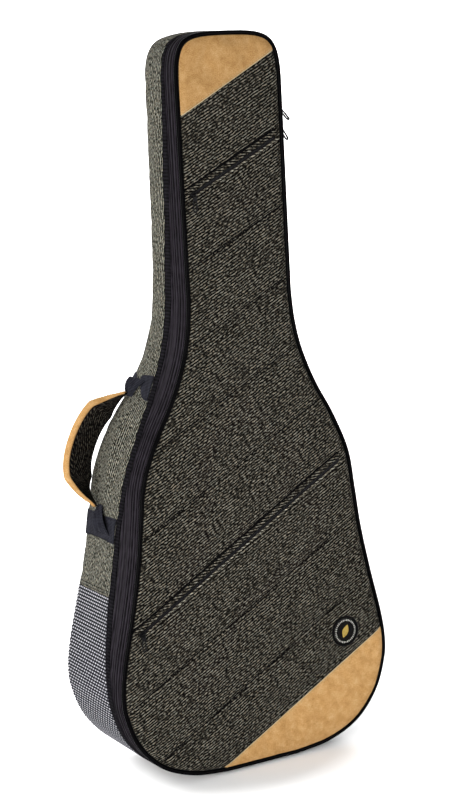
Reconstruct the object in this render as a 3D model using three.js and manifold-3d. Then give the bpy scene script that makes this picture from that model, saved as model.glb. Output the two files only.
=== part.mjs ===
// Padded gig bag for a full-size acoustic guitar, standing upright on its rounded end.
// Millimetres. +X is the bag's right, +Y its back, +Z up. The origin is the middle of the flat
// that the bag stands on. "Depth" is measured back from the front face, "inset" inward from the
// front outline, and "station" along the outline from the bottom centre, up the right side first.
import * as THREE from 'three';
import { mergeVertices } from 'three/addons/utils/BufferGeometryUtils.js';
import Module from 'manifold-3d';

const wasm = await Module();
wasm.setup();

// ---- driving dimensions -------------------------------------------------------------------
const HEIGHT = 1080;
const FRONT_Y = -95;
const FOOT_HALF = 60;
const NECK_HALF = 87;
const NECK_LOW = 705;
const NECK_HIGH = 1000;
// half width and height of the outline between the foot and the neck
const FLANK = [
  [FOOT_HALF, 0], [118, 7], [170, 29], [207, 69], [225, 116], [228, 152], [222, 195], [206, 264],
  [192, 334], [184, 395], [175, 455], [151, 513], [122, 566], [101, 618], [91, 662],
  [NECK_HALF, NECK_LOW],
];
// height and depth of the case, from the foot to the head
const DEPTHS = [
  [-60, 166], [0, 172], [50, 182], [130, 189], [260, 184], [400, 171], [520, 154], [600, 134],
  [680, 115], [780, 107], [900, 102], [1000, 97], [1140, 90],
];
const GAP = 0.3;
const SKIN = 2;
const FOAM = 18;
const WALL_FOAM = 14;
const LINING = 1.4;
const PIPING_R = 3.1;
const EDGE = 2 * PIPING_R + 0.4;
const PIPING_NEAR = 0.7;
// the side fabric turns onto the back, and the rear piping lies beside it
const TURN = 5.7;
const REAR_PIPING = 5.6;
const REAR_EDGE = TURN + REAR_PIPING + 2 * GAP;
// depths of the bands round the side
const LID_BAND = 7.6;
const COIL_HALF = 4.7;
const SPLIT = 28;
const TAPE_END = 46;
const BINDING_END = 60;
// the lid's layers
const SUEDE_FACE = 0.2;
const LID_FACE = 1.6;
const LID_SKIN_BACK = 3.4;
const POUCH_BACK = 4.9;
const LID_FOAM_BACK = 17.8;
const RIM = 14;
// the fabric hinge on the right flank
const HINGE_LOW = 70;
const HINGE_HIGH = 330;

const COLOUR = {
  tweed: 0x4b4a40, sideTweed: 0x6d6c60, suede: 0xcda064, black: 0x1c1b20, webbing: 0x34343c,
  ribbed: 0x55555c, foam: 0x3a3a3a, plush: 0x5b5046, metal: 0x2a2a2c, brass: 0xb08d3c, pad: 0x2b2a28,
};

const bag = new THREE.Group();

// ---- placing and booleans -----------------------------------------------------------------
function addPart(name, geometry, colour, roughness = 0.9, metalness = 0) {
  const material = new THREE.MeshStandardMaterial({ color: colour, roughness, metalness });
  const mesh = new THREE.Mesh(geometry, material);
  mesh.name = name;
  bag.add(mesh);
  return mesh;
}

function toSolid(geometry) {
  const plain = geometry.clone();
  plain.deleteAttribute('normal');
  plain.deleteAttribute('uv');
  const merged = mergeVertices(plain, 1e-4);
  return new wasm.Manifold(new wasm.Mesh({
    numProp: 3,
    vertProperties: new Float32Array(merged.attributes.position.array),
    triVerts: new Uint32Array(merged.index.array),
  }));
}

function toGeometry(solid) {
  const mesh = solid.getMesh();
  const geometry = new THREE.BufferGeometry();
  geometry.setAttribute('position', new THREE.BufferAttribute(new Float32Array(mesh.vertProperties), 3));
  geometry.setIndex(new THREE.BufferAttribute(new Uint32Array(mesh.triVerts), 1));
  geometry.computeVertexNormals();
  return geometry;
}

// ---- the outline --------------------------------------------------------------------------
function halfOutline() {
  const flank = new THREE.SplineCurve(FLANK.map(([x, z]) => new THREE.Vector2(x, z)));
  const corner = new THREE.CubicBezierCurve(
    new THREE.Vector2(NECK_HALF, NECK_HIGH), new THREE.Vector2(NECK_HALF + 1, HEIGHT - 4),
    new THREE.Vector2(NECK_HALF - 16, HEIGHT), new THREE.Vector2(0, HEIGHT));
  return [new THREE.Vector2(0, 0), ...flank.getPoints(22), ...corner.getPoints(7)];
}

const HALF = halfOutline();
const LOOP = [...HALF, ...HALF.slice(1, -1).reverse().map((p) => new THREE.Vector2(-p.x, p.y))];
const NORMALS = LOOP.map((p, i) => {
  const before = LOOP[(i + LOOP.length - 1) % LOOP.length];
  const after = LOOP[(i + 1) % LOOP.length];
  const a = p.clone().sub(before).normalize();
  const b = after.clone().sub(p).normalize();
  const along = a.clone().add(b).normalize();
  return new THREE.Vector2(-along.y, along.x).divideScalar(along.dot(a));
});
const STATIONS = LOOP.reduce((list, p, i) => {
  list.push(i === 0 ? 0 : list[i - 1] + p.distanceTo(LOOP[i - 1]));
  return list;
}, []);
const PERIMETER = STATIONS.at(-1) + LOOP.at(-1).distanceTo(LOOP[0]);

function insetLoop(inset) {
  return LOOP.map((p, i) => p.clone().addScaledVector(NORMALS[i], inset));
}

// a point on the outline moved inward, at any station
function outlinePoint(station, inset) {
  const s = ((station % PERIMETER) + PERIMETER) % PERIMETER;
  let i = STATIONS.findIndex((value) => value > s);
  i = (i < 0 ? LOOP.length : i) - 1;
  const j = (i + 1) % LOOP.length;
  const end = j === 0 ? PERIMETER : STATIONS[j];
  const share = (s - STATIONS[i]) / (end - STATIONS[i]);
  const normal = NORMALS[i].clone().lerp(NORMALS[j], share);
  return LOOP[i].clone().lerp(LOOP[j], share).addScaledVector(normal, inset);
}

// the station on the right flank at a height; the left one is its negative
function stationAt(height) {
  const i = HALF.findIndex((p) => p.y > height);
  const share = (height - HALF[i - 1].y) / (HALF[i].y - HALF[i - 1].y);
  return THREE.MathUtils.lerp(STATIONS[i - 1], STATIONS[i], share);
}

// a stretch of the outline's wall between two stations and two insets
function wallShape(from, to, outer, inner) {
  const stops = [from];
  for (let lap = -1; lap <= 1; lap += 1) {
    STATIONS.forEach((s) => {
      const station = s + lap * PERIMETER;
      if (station > from + 1 && station < to - 1) stops.push(station);
    });
  }
  stops.push(to);
  stops.sort((a, b) => a - b);
  const outside = stops.map((s) => outlinePoint(s, outer));
  const inside = stops.map((s) => outlinePoint(s, inner));
  return new THREE.Shape([...outside, ...inside.reverse()]);
}

function ringShape(outer, inner) {
  const shape = new THREE.Shape(insetLoop(outer));
  shape.holes.push(new THREE.Path(insetLoop(inner)));
  return shape;
}

// ---- extruding ----------------------------------------------------------------------------
// a front-view shape made solid between two depths
function slab(shape, near, far) {
  const options = { depth: far - near, bevelEnabled: false, curveSegments: 6 };
  const geometry = new THREE.ExtrudeGeometry(shape, options);
  geometry.rotateX(Math.PI / 2);
  geometry.translate(0, FRONT_Y + far, 0);
  return geometry;
}

const DEPTH_CURVE = new THREE.SplineCurve(DEPTHS.map(([z, depth]) => new THREE.Vector2(depth, z)));
const DEPTH_POINTS = DEPTH_CURVE.getPoints(20);

function backDepth(height) {
  const i = DEPTH_POINTS.findIndex((p) => p.y > height);
  const [a, b] = [DEPTH_POINTS[i - 1], DEPTH_POINTS[i]];
  return THREE.MathUtils.lerp(a.x, b.x, (height - a.y) / (b.y - a.y));
}

// everything between the case's back moved by "near" and by "far", or from one flat depth
function depthBand(near, far, flatNear) {
  const front = flatNear === undefined
    ? DEPTH_POINTS.map((p) => new THREE.Vector2(FRONT_Y + p.x + near, p.y))
    : [DEPTH_POINTS[0], DEPTH_POINTS.at(-1)].map((p) => new THREE.Vector2(FRONT_Y + flatNear, p.y));
  const back = DEPTH_POINTS.map((p) => new THREE.Vector2(FRONT_Y + p.x + far, p.y));
  const geometry = new THREE.ExtrudeGeometry(
    new THREE.Shape([...front, ...back.reverse()]), { depth: 700, bevelEnabled: false });
  geometry.applyMatrix4(new THREE.Matrix4().makeBasis(
    new THREE.Vector3(0, 1, 0), new THREE.Vector3(0, 0, 1), new THREE.Vector3(1, 0, 0)));
  geometry.translate(-350, 0, 0);
  return toSolid(geometry);
}

// a front-view shape cut to a layer that follows the case's back
function onBack(shape, near, far) {
  return toGeometry(toSolid(slab(shape, 40, 260)).intersect(depthBand(near, far)));
}

// a wall from a flat depth to the case's back
function wall(shape, flatNear, far) {
  return toGeometry(toSolid(slab(shape, flatNear - 30, 260)).intersect(depthBand(0, far, flatNear)));
}

// piping round the front edge, its corners cut so that it is eight-sided
function frontPiping(near) {
  const cut = PIPING_R * 0.6;
  const side = 2 * (PIPING_R - cut);
  const geometry = new THREE.ExtrudeGeometry(ringShape(cut, cut + side), {
    depth: side, bevelEnabled: true, bevelSegments: 1, bevelSize: cut, bevelThickness: cut,
  });
  geometry.rotateX(Math.PI / 2);
  return geometry.translate(0, FRONT_Y + near + cut + side, 0);
}

function rectangle(width, height) {
  const [w, h] = [width / 2, height / 2];
  return new THREE.Shape([[-w, -h], [w, -h], [w, h], [-w, h]].map(([x, y]) => new THREE.Vector2(x, y)));
}

// a rectangle with half-round ends, along X
function stadium(length, width) {
  const [reach, r] = [(length - width) / 2, width / 2];
  const shape = new THREE.Shape();
  shape.absarc(reach, 0, r, -Math.PI / 2, Math.PI / 2);
  shape.absarc(-reach, 0, r, Math.PI / 2, 1.5 * Math.PI);
  shape.closePath();
  return shape;
}

// ---- the case: back, side wall and its bands ----------------------------------------------
// side fabric between two stations, turned onto the back at its rear edge
function sideFabric(from, to) {
  const side = toSolid(wall(wallShape(from, to, 0, SKIN), BINDING_END + GAP, 0));
  return toGeometry(side.add(toSolid(onBack(wallShape(from, to, 0, TURN), -SKIN, 0))));
}

function buildCase() {
  const patch = stationAt(262);
  addPart('back_skin', onBack(new THREE.Shape(insetLoop(REAR_EDGE)), -SKIN, 0), COLOUR.tweed);
  addPart('back_foam', onBack(new THREE.Shape(insetLoop(REAR_EDGE)), -SKIN - FOAM - GAP, -SKIN - GAP),
    COLOUR.foam);
  const liningNear = -SKIN - FOAM - 2 * GAP - LINING;
  const liningInset = SKIN + WALL_FOAM + LINING + 3 * GAP;
  addPart('back_lining', onBack(new THREE.Shape(insetLoop(liningInset)), liningNear, liningNear + LINING),
    COLOUR.plush);
  addPart('gusset_skin', sideFabric(patch + 0.4, PERIMETER - patch - 0.4), COLOUR.sideTweed);
  addPart('bottom_patch', sideFabric(-patch, patch), COLOUR.ribbed);
  const wallBack = -SKIN - FOAM - 2 * GAP;
  addPart('side_foam', wall(ringShape(SKIN + GAP, SKIN + WALL_FOAM), SPLIT + GAP, wallBack), COLOUR.foam);
  addPart('side_lining', wall(ringShape(SKIN + WALL_FOAM + GAP, SKIN + WALL_FOAM + GAP + LINING),
    SPLIT + GAP, wallBack), COLOUR.plush);
  addPart('rear_piping', onBack(ringShape(TURN + GAP, TURN + GAP + REAR_PIPING), -REAR_PIPING, 0),
    COLOUR.black, 0.5);
  addPart('binding_band', slab(ringShape(0, SKIN), TAPE_END + GAP, BINDING_END), COLOUR.black);
}

// ---- the zip round the opening and the fabric hinge ----------------------------------------
function buildMainZip() {
  const low = stationAt(HINGE_LOW);
  const high = stationAt(HINGE_HIGH);
  const zip = [high + 0.4, low + PERIMETER - 0.4];
  const hinge = [low, high];
  const tapeFace = 0.6;
  const tape = wallShape(...zip, tapeFace, SKIN);
  addPart('base_tape', slab(tape, SPLIT + COIL_HALF + GAP, TAPE_END), COLOUR.black);
  addPart('base_coil', slab(wallShape(...zip, 0, SKIN), SPLIT + GAP / 2, SPLIT + COIL_HALF), COLOUR.black);
  addPart('lid_coil', slab(wallShape(...zip, 0, SKIN), SPLIT - COIL_HALF, SPLIT - GAP / 2), COLOUR.black);
  addPart('lid_tape', slab(tape, LID_BAND, SPLIT - COIL_HALF - GAP), COLOUR.black);
  addPart('hinge_strip_base', slab(wallShape(...hinge, 0, SKIN), SPLIT + GAP / 2, TAPE_END), COLOUR.black);
  addPart('hinge_strip_lid', slab(wallShape(...hinge, 0, SKIN), LID_BAND, SPLIT - GAP / 2), COLOUR.black);
}

// ---- zip sliders and pulls ------------------------------------------------------------------
// a slider lying along its own X, its back on z = 0, with a bridge that the pull hangs from
function sliderGeometry(length, width, bodyHeight, bridgeHeight) {
  const shape = new THREE.Shape();
  const reach = length / 2;
  const foot = reach - 2.5;
  shape.moveTo(-reach, 0);
  shape.lineTo(reach, 0);
  shape.lineTo(reach, bodyHeight);
  shape.lineTo(foot, bodyHeight);
  shape.lineTo(foot - 1.5, bodyHeight + bridgeHeight);
  shape.lineTo(-foot + 1.5, bodyHeight + bridgeHeight);
  shape.lineTo(-foot, bodyHeight);
  shape.lineTo(-reach, bodyHeight);
  const body = new THREE.ExtrudeGeometry(shape, { depth: width, bevelEnabled: false });
  body.translate(0, 0, -width / 2);
  body.rotateX(Math.PI / 2);
  return body;
}

// a flat pull hanging down its own -Z from its pivot, with a long hole towards its end
const PULL_ABOVE_PIVOT = 1;

function pullGeometry(length, width, thickness) {
  const shape = stadium(length, width);
  shape.holes.push(new THREE.Path(stadium(length * 0.5, width * 0.45).getPoints(4)
    .map((p) => new THREE.Vector2(p.x + length * 0.16, p.y))));
  const pull = new THREE.ExtrudeGeometry(shape, { depth: thickness, bevelEnabled: false, curveSegments: 4 });
  pull.translate(length / 2 - PULL_ABOVE_PIVOT, 0, -thickness / 2);
  pull.rotateY(Math.PI / 2);
  return pull;
}

const MAIN_SLIDER = { length: 14, width: 10, body: 3, bridge: 2.6 };
const MAIN_PULL = { length: 27, width: 7, thickness: 1.6 };
const MAIN_FACE = NECK_HALF + GAP;

function buildMainSlider(name, height, lean) {
  const { length, width, body, bridge } = MAIN_SLIDER;
  const geometry = sliderGeometry(length, width, body, bridge);
  const slider = addPart(`${name}_slider`, geometry, COLOUR.metal, 0.4, 0.8);
  // its length up the zip, its top facing outward
  slider.rotation.set(0, Math.PI / 2, 0);
  slider.position.set(MAIN_FACE, FRONT_Y + SPLIT, height);
  const pull = addPart(`${name}_pull`, pullGeometry(MAIN_PULL.length, MAIN_PULL.width, MAIN_PULL.thickness),
    COLOUR.metal, 0.4, 0.8);
  pull.rotation.set(0, -THREE.MathUtils.degToRad(lean), 0);
  pull.position.set(MAIN_FACE + body + bridge + 1.8, FRONT_Y + SPLIT, height - length / 2 - 2);
}

// ---- the lid --------------------------------------------------------------------------------
// the pockets' zips: end points on the front face, at the left and the right seam
const POCKETS = {
  upper_pocket: { left: [-80, 849], right: [79, 931], pouchLow: 700, pouchHigh: 930 },
  lower_pocket: { left: [-202, 231], right: [163, 446], pouchLow: 40, pouchHigh: 400 },
};
const SLOT_HALF = 7;
const END_BRIDGE = 5.5;
const TOP_SUEDE = [[-90, 959], [90, 1059]];
const BOTTOM_SUEDE = [[-84, -1], [240, 180]];

function cutAbove([[x0, z0], [x1, z1]], above) {
  const side = above ? 900 : -900;
  return new THREE.Shape([[x0 - 300, z0 - 300 * (z1 - z0) / (x1 - x0)],
    [x1 + 300, z1 + 300 * (z1 - z0) / (x1 - x0)], [x1 + 300, z1 + side], [x0 - 300, z0 + side]]
    .map(([x, z]) => new THREE.Vector2(x, z)));
}

// moves a front-view shape drawn along X onto a pocket's zip line
function alongPocket(shape, { left, right }, shift = 0) {
  const angle = Math.atan2(right[1] - left[1], right[0] - left[0]);
  const middle = [(left[0] + right[0]) / 2, (left[1] + right[1]) / 2];
  const place = (p) => new THREE.Vector2(
    middle[0] + (p.x + shift) * Math.cos(angle) - p.y * Math.sin(angle),
    middle[1] + (p.x + shift) * Math.sin(angle) + p.y * Math.cos(angle));
  const moved = new THREE.Shape(shape.getPoints(5).map(place));
  moved.holes = shape.holes.map((hole) => new THREE.Path(hole.getPoints(5).map(place)));
  return moved;
}

function pocketLength({ left, right }) {
  return Math.hypot(right[0] - left[0], right[1] - left[1]);
}

function buildLid() {
  let skin = toSolid(slab(new THREE.Shape(insetLoop(EDGE + 1)), LID_FACE, LID_SKIN_BACK));
  Object.values(POCKETS).forEach((pocket) => {
    const slot = alongPocket(rectangle(pocketLength(pocket) - 2 * END_BRIDGE, 2 * SLOT_HALF), pocket);
    skin = skin.subtract(toSolid(slab(slot, -10, 10)));
  });
  addPart('lid_skin', toGeometry(skin), COLOUR.tweed);
  const face = toSolid(slab(new THREE.Shape(insetLoop(EDGE + 1)), SUEDE_FACE, LID_FACE - GAP));
  const above = toSolid(slab(cutAbove(TOP_SUEDE, true), -10, 10));
  const below = toSolid(slab(cutAbove(BOTTOM_SUEDE, false), -10, 10));
  addPart('top_suede', toGeometry(face.intersect(above)), COLOUR.suede);
  addPart('bottom_suede', toGeometry(face.intersect(below)), COLOUR.suede);
  const broad = toSolid(slab(new THREE.Shape(insetLoop(EDGE + 1)), POUCH_BACK + GAP, LID_BAND - GAP));
  const deep = toSolid(slab(new THREE.Shape(insetLoop(RIM + GAP)), POUCH_BACK + GAP, LID_FOAM_BACK));
  addPart('lid_foam', toGeometry(broad.add(deep)), COLOUR.foam);
  addPart('lid_rim_foam', slab(ringShape(SKIN + GAP, RIM), LID_BAND, SPLIT - GAP), COLOUR.foam);
  addPart('lid_lining', slab(new THREE.Shape(insetLoop(RIM + GAP)), LID_FOAM_BACK + GAP,
    LID_FOAM_BACK + GAP + LINING), COLOUR.plush);
  addPart('front_piping', frontPiping(PIPING_NEAR), COLOUR.black, 0.5);
}

const POCKET_SLIDER = { length: 10, width: 8, body: 2, bridge: 2 };
const POCKET_PULL = { length: 26, width: 7, thickness: 1.5 };

function buildPocket(name, pocket) {
  const length = pocketLength(pocket) - 2 * END_BRIDGE;
  addPart(`${name}_tape`, slab(alongPocket(rectangle(length - 1, 2 * SLOT_HALF - 0.8), pocket), 2.6,
    LID_SKIN_BACK), COLOUR.black);
  addPart(`${name}_coil`, slab(alongPocket(rectangle(length - 4, 5), pocket), 1, 2.3), COLOUR.black, 0.5);
  const welt = rectangle(length + 8, 24);
  welt.holes.push(rectangle(length - 3, 10));
  const field = toSolid(slab(new THREE.Shape(insetLoop(EDGE + 1)), -5, 5));
  addPart(`${name}_welt`, toGeometry(toSolid(slab(alongPocket(welt, pocket), -0.6, LID_FACE - GAP))
    .intersect(field)), COLOUR.tweed);
  const band = rectangle(600, pocket.pouchHigh - pocket.pouchLow);
  const low = toSolid(slab(band, LID_SKIN_BACK + GAP, POUCH_BACK));
  const tall = low.translate(0, 0, (pocket.pouchHigh + pocket.pouchLow) / 2);
  const inside = toSolid(slab(new THREE.Shape(insetLoop(EDGE + 8)), LID_SKIN_BACK + GAP, POUCH_BACK));
  addPart(`${name}_pouch`, toGeometry(tall.intersect(inside)), COLOUR.pad);
  const { length: long, width, body, bridge } = POCKET_SLIDER;
  const angle = Math.atan2(pocket.right[1] - pocket.left[1], pocket.right[0] - pocket.left[0]);
  const start = END_BRIDGE + long / 2 + 1.9;
  const at = [pocket.left[0] + start * Math.cos(angle), pocket.left[1] + start * Math.sin(angle)];
  const slider = addPart(`${name}_slider`, sliderGeometry(long, width, body, bridge), COLOUR.metal, 0.4, 0.8);
  slider.rotation.set(Math.PI / 2, -angle, 0, 'YXZ');
  slider.position.set(at[0], FRONT_Y + 0.7, at[1]);
  const pull = addPart(`${name}_pull`, pullGeometry(POCKET_PULL.length, POCKET_PULL.width,
    POCKET_PULL.thickness), COLOUR.metal, 0.4, 0.8);
  pull.rotation.set(0, 0, -Math.PI / 2);
  pull.position.set(at[0], FRONT_Y + 0.7 - body - bridge - 1.4, at[1] - 1);
}

// ---- the round badge ------------------------------------------------------------------------
const BADGE_AT = [153, 175];
const BADGE_R = 24;

function buildBadge() {
  const disc = new THREE.Shape();
  disc.absarc(0, 0, BADGE_R, 0, 2 * Math.PI);
  const hoop = new THREE.Shape();
  hoop.absarc(0, 0, BADGE_R - 0.5, 0, 2 * Math.PI);
  hoop.holes.push(new THREE.Path().absarc(0, 0, BADGE_R - 3, 0, 2 * Math.PI));
  const leaf = new THREE.Shape();
  leaf.moveTo(0, -10.5);
  leaf.quadraticCurveTo(11, 0, 0, 10.5);
  leaf.quadraticCurveTo(-11, 0, 0, -10.5);
  const layers = [
    ['badge_base', disc, -0.1, LID_FACE - GAP, COLOUR.black],
    ['badge_rim', hoop, -1.4, -0.4, COLOUR.metal],
    ['badge_leaf', leaf, -1.2, -0.4, COLOUR.brass],
  ];
  layers.forEach(([name, shape, near, far, colour]) => {
    addPart(name, slab(shape, near, far), colour, 0.5).position.set(BADGE_AT[0], 0, BADGE_AT[1]);
  });
}

// ---- the carry handle on the left flank -------------------------------------------------------
const HANDLE = {
  top: [-127, 567], bottom: [-190, 400], depth: 126, lean: 50, outer: 6.5, inner: 6.5,
};
// the handle's bow: distance down from its top anchor, and out from the line between the anchors
const HANDLE_BOW = [[4, 8], [20, 29], [40, 48], [64, 60], [92, 65], [118, 64], [140, 55], [157, 38],
  [168, 22], [174, 8]];
// half the handle's width at each distance down: it is gathered to a point at its anchors
const HANDLE_TAPER = [[0, 4], [16, 12], [36, 23], [142, 23], [162, 12], [180, 4]];

function bowShape(from, to) {
  const curve = new THREE.SplineCurve(HANDLE_BOW.map(([down, out]) => new THREE.Vector2(down, out)));
  const points = curve.getPoints(22);
  const moved = (offset) => points.map((p, i) => {
    const tangent = curve.getTangent(i / 22);
    return new THREE.Vector2(p.x - tangent.y * offset, p.y + tangent.x * offset);
  });
  return new THREE.Shape([...moved(from), ...moved(to).reverse()]);
}

function buildHandle() {
  const top = new THREE.Vector3(HANDLE.top[0], FRONT_Y + HANDLE.depth, HANDLE.top[1]);
  const bottom = new THREE.Vector3(HANDLE.bottom[0], FRONT_Y + HANDLE.depth, HANDLE.bottom[1]);
  const down = bottom.clone().sub(top).normalize();
  const outward = new THREE.Vector3(down.z, 0, -down.x);
  outward.multiplyScalar(Math.cos(THREE.MathUtils.degToRad(HANDLE.lean)));
  outward.y = Math.sin(THREE.MathUtils.degToRad(HANDLE.lean));
  const across = down.clone().cross(outward);
  const place = new THREE.Matrix4().makeBasis(down, outward, across).setPosition(top);
  const strip = (from, to, slimmer) => {
    const bow = new THREE.ExtrudeGeometry(bowShape(from, to), { depth: 60, bevelEnabled: false });
    bow.translate(0, 0, -30);
    const edge = (side) => HANDLE_TAPER.map(([x, half]) => new THREE.Vector2(x, side * (half - slimmer)));
    const taper = new THREE.ExtrudeGeometry(new THREE.Shape([...edge(-1), ...edge(1).reverse()]),
      { depth: 200, bevelEnabled: false });
    // the taper's height becomes the strip's width, and its depth runs outward
    taper.rotateX(-Math.PI / 2);
    taper.translate(0, -60, 0);
    return toGeometry(toSolid(bow).intersect(toSolid(taper))).applyMatrix4(place);
  };
  addPart('handle_leather', strip(0.5, HANDLE.outer, 0), COLOUR.suede);
  addPart('handle_core', strip(-HANDLE.inner, 0.2, 1), COLOUR.tweed);
  const bands = { upper: 576, lower: 373 };
  Object.entries(bands).forEach(([name, height]) => {
    const middle = PERIMETER - stationAt(height);
    const band = wallShape(middle - 19, middle + 19, -1.8, -GAP);
    addPart(`web_band_${name}`, wall(band, BINDING_END + GAP, -GAP), COLOUR.webbing);
    addPart(`handle_loop_${name}`, slab(wallShape(middle - 15, middle + 15, -4.4, -2.1), HANDLE.depth - 19,
      HANDLE.depth + 19), COLOUR.webbing);
  });
}

// ---- the back: shoulder straps, their webbing and the hanging loop --------------------------
const STRAP_WIDTH = 56;
const STRAP_PATH = [[38, 690], [44, 620], [66, 520], [92, 420], [104, 330], [104, 262]];
const STRAP_LIFT = 2.6;
const STRAP_PAD = 12;
const WEB_WIDTH = 25;

function ribbonShape(path, width, side) {
  const curve = new THREE.SplineCurve(path.map(([x, z]) => new THREE.Vector2(x * side, z)));
  const steps = 12;
  const edge = (offset) => Array.from({ length: steps + 1 }, (_, i) => {
    const p = curve.getPoint(i / steps);
    const tangent = curve.getTangent(i / steps);
    return new THREE.Vector2(p.x - tangent.y * offset, p.y + tangent.x * offset);
  });
  return new THREE.Shape([...edge(-width / 2), ...edge(width / 2).reverse()]);
}

// a ladder lock in its own XY plane: a frame with two windows
function ladderLock(width, height, thickness) {
  const frame = rectangle(width, height);
  [-1, 1].forEach((side) => {
    const window = rectangle(width - 9, height / 2 - 7).getPoints()
      .map((p) => new THREE.Vector2(p.x, p.y + side * (height / 4 - 0.5)));
    frame.holes.push(new THREE.Path(window));
  });
  const geometry = new THREE.ExtrudeGeometry(frame, { depth: thickness, bevelEnabled: false });
  return geometry.translate(0, 0, -thickness / 2);
}

function buildStraps() {
  const yoke = ribbonShape([[0, 640], [0, 735]], 142, 1);
  addPart('strap_yoke', onBack(yoke, GAP, STRAP_LIFT - GAP), COLOUR.black);
  Object.entries({ left: -1, right: 1 }).forEach(([name, side]) => {
    addPart(`shoulder_strap_${name}`, onBack(ribbonShape(STRAP_PATH, STRAP_WIDTH, side),
      STRAP_LIFT, STRAP_LIFT + STRAP_PAD), COLOUR.pad);
    const web = [[104, 256], [122, 170], [140, 84]];
    addPart(`strap_web_${name}`, onBack(ribbonShape(web, WEB_WIDTH, side), STRAP_LIFT, STRAP_LIFT + 1.6),
      COLOUR.webbing);
    const tab = new THREE.Shape([[118, 96], [170, 118], [176, 70], [140, 46]]
      .map(([x, z]) => new THREE.Vector2(x * side, z)));
    addPart(`strap_tab_${name}`, onBack(tab, GAP, STRAP_LIFT - GAP), COLOUR.black);
    const lock = addPart(`ladder_lock_${name}`, ladderLock(36, 30, 4), COLOUR.black, 0.5);
    const [x, z] = [110, 228];
    const slope = (backDepth(z - 40) - backDepth(z + 40)) / 80;
    lock.rotation.set(-Math.PI / 2 + Math.atan(slope), 0, side * Math.atan2(36, 172), 'XYZ');
    lock.position.set(x * side, FRONT_Y + backDepth(z) + STRAP_LIFT + 1.6 + 3.4, z);
  });
  const loop = new THREE.Shape();
  loop.moveTo(0, -26);
  loop.quadraticCurveTo(30, -22, 30, 0);
  loop.quadraticCurveTo(30, 22, 0, 26);
  loop.lineTo(0, 18);
  loop.quadraticCurveTo(26, 16, 26, 0);
  loop.quadraticCurveTo(26, -16, 0, -18);
  const strap = new THREE.ExtrudeGeometry(loop, { depth: 25, bevelEnabled: false, curveSegments: 6 });
  strap.applyMatrix4(new THREE.Matrix4().makeBasis(
    new THREE.Vector3(0, 1, 0), new THREE.Vector3(0, 0, 1), new THREE.Vector3(1, 0, 0)));
  strap.rotateX(0.055);
  strap.translate(-12.5, FRONT_Y + backDepth(1010) + 1.6, 1010);
  addPart('hanging_loop', strap, COLOUR.webbing);
}

// ---- inside: the neck rest and its strap ------------------------------------------------------
function buildInside() {
  const inner = SKIN + WALL_FOAM + LINING + 3 * GAP;
  const halfWidth = NECK_HALF - inner;
  const block = new THREE.Shape();
  const notch = 27;
  const frontDepth = 50;
  const backFace = backDepth(790) - SKIN - FOAM - LINING - 3 * GAP;
  block.moveTo(-halfWidth, frontDepth);
  block.lineTo(-notch, frontDepth);
  block.absellipse(0, frontDepth, notch, 22, Math.PI, 0, true);
  block.lineTo(halfWidth, frontDepth);
  block.lineTo(halfWidth, backFace);
  block.lineTo(-halfWidth, backFace);
  const cradle = new THREE.ExtrudeGeometry(block, { depth: 60, bevelEnabled: false, curveSegments: 10 });
  cradle.translate(0, FRONT_Y, 730);
  addPart('neck_cradle', cradle, COLOUR.plush);
  const strap = new THREE.BoxGeometry(2 * halfWidth - 1, 1.6, 38);
  addPart('neck_strap', strap, COLOUR.black).position.set(0, FRONT_Y + frontDepth - 2, 760);
}

buildCase();
buildMainZip();
buildMainSlider('upper_main', 980, 40);
buildMainSlider('lower_main', 954, 30);
buildLid();
Object.entries(POCKETS).forEach(([name, pocket]) => buildPocket(name, pocket));
buildBadge();
buildHandle();
buildStraps();
buildInside();

export default bag;
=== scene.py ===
"""Padded gig bag for an acoustic guitar: the looks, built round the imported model.

Shapes are worked out in millimetres in the model's own frame: +X the bag's right, +Y its back, +Z up.
"Depth" is measured back from the front face, "inset" inward from the front outline, and "station"
along that outline from the bottom centre, up the right side first.
"""

import math

import bpy
import numpy as np
from mathutils import Matrix, Vector
from mathutils.bvhtree import BVHTree
from mathutils.geometry import delaunay_2d_cdt


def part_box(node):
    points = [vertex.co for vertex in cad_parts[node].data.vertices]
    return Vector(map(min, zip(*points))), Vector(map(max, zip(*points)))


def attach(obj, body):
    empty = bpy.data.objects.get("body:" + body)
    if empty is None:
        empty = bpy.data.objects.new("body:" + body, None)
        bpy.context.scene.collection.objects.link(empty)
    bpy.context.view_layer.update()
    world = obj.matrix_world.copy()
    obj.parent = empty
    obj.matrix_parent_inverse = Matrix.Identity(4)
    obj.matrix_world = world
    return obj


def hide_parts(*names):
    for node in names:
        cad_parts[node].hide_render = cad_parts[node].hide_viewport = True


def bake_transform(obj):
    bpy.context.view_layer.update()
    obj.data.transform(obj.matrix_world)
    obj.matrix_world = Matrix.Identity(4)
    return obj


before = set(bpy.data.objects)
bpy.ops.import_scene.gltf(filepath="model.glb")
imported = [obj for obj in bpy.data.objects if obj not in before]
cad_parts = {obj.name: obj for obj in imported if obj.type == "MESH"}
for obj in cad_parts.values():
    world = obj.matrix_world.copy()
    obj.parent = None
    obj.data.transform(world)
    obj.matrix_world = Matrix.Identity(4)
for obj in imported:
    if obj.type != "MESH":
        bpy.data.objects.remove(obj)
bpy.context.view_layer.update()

MM = 0.001
FRONT_Y = -95.0

# ---- driving sizes, in mm ----------------------------------------------------------------------
HEIGHT = 1080
FOOT_HALF = 60
NECK_HALF = 87
NECK_LOW = 705
NECK_HIGH = 1000
# half width and height of the outline between the foot and the neck
FLANK = [
    (FOOT_HALF, 0), (118, 7), (170, 29), (207, 69), (225, 116), (228, 152), (222, 195), (206, 264),
    (192, 334), (184, 395), (175, 455), (151, 513), (122, 566), (101, 618), (91, 662),
    (NECK_HALF, NECK_LOW),
]
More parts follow.
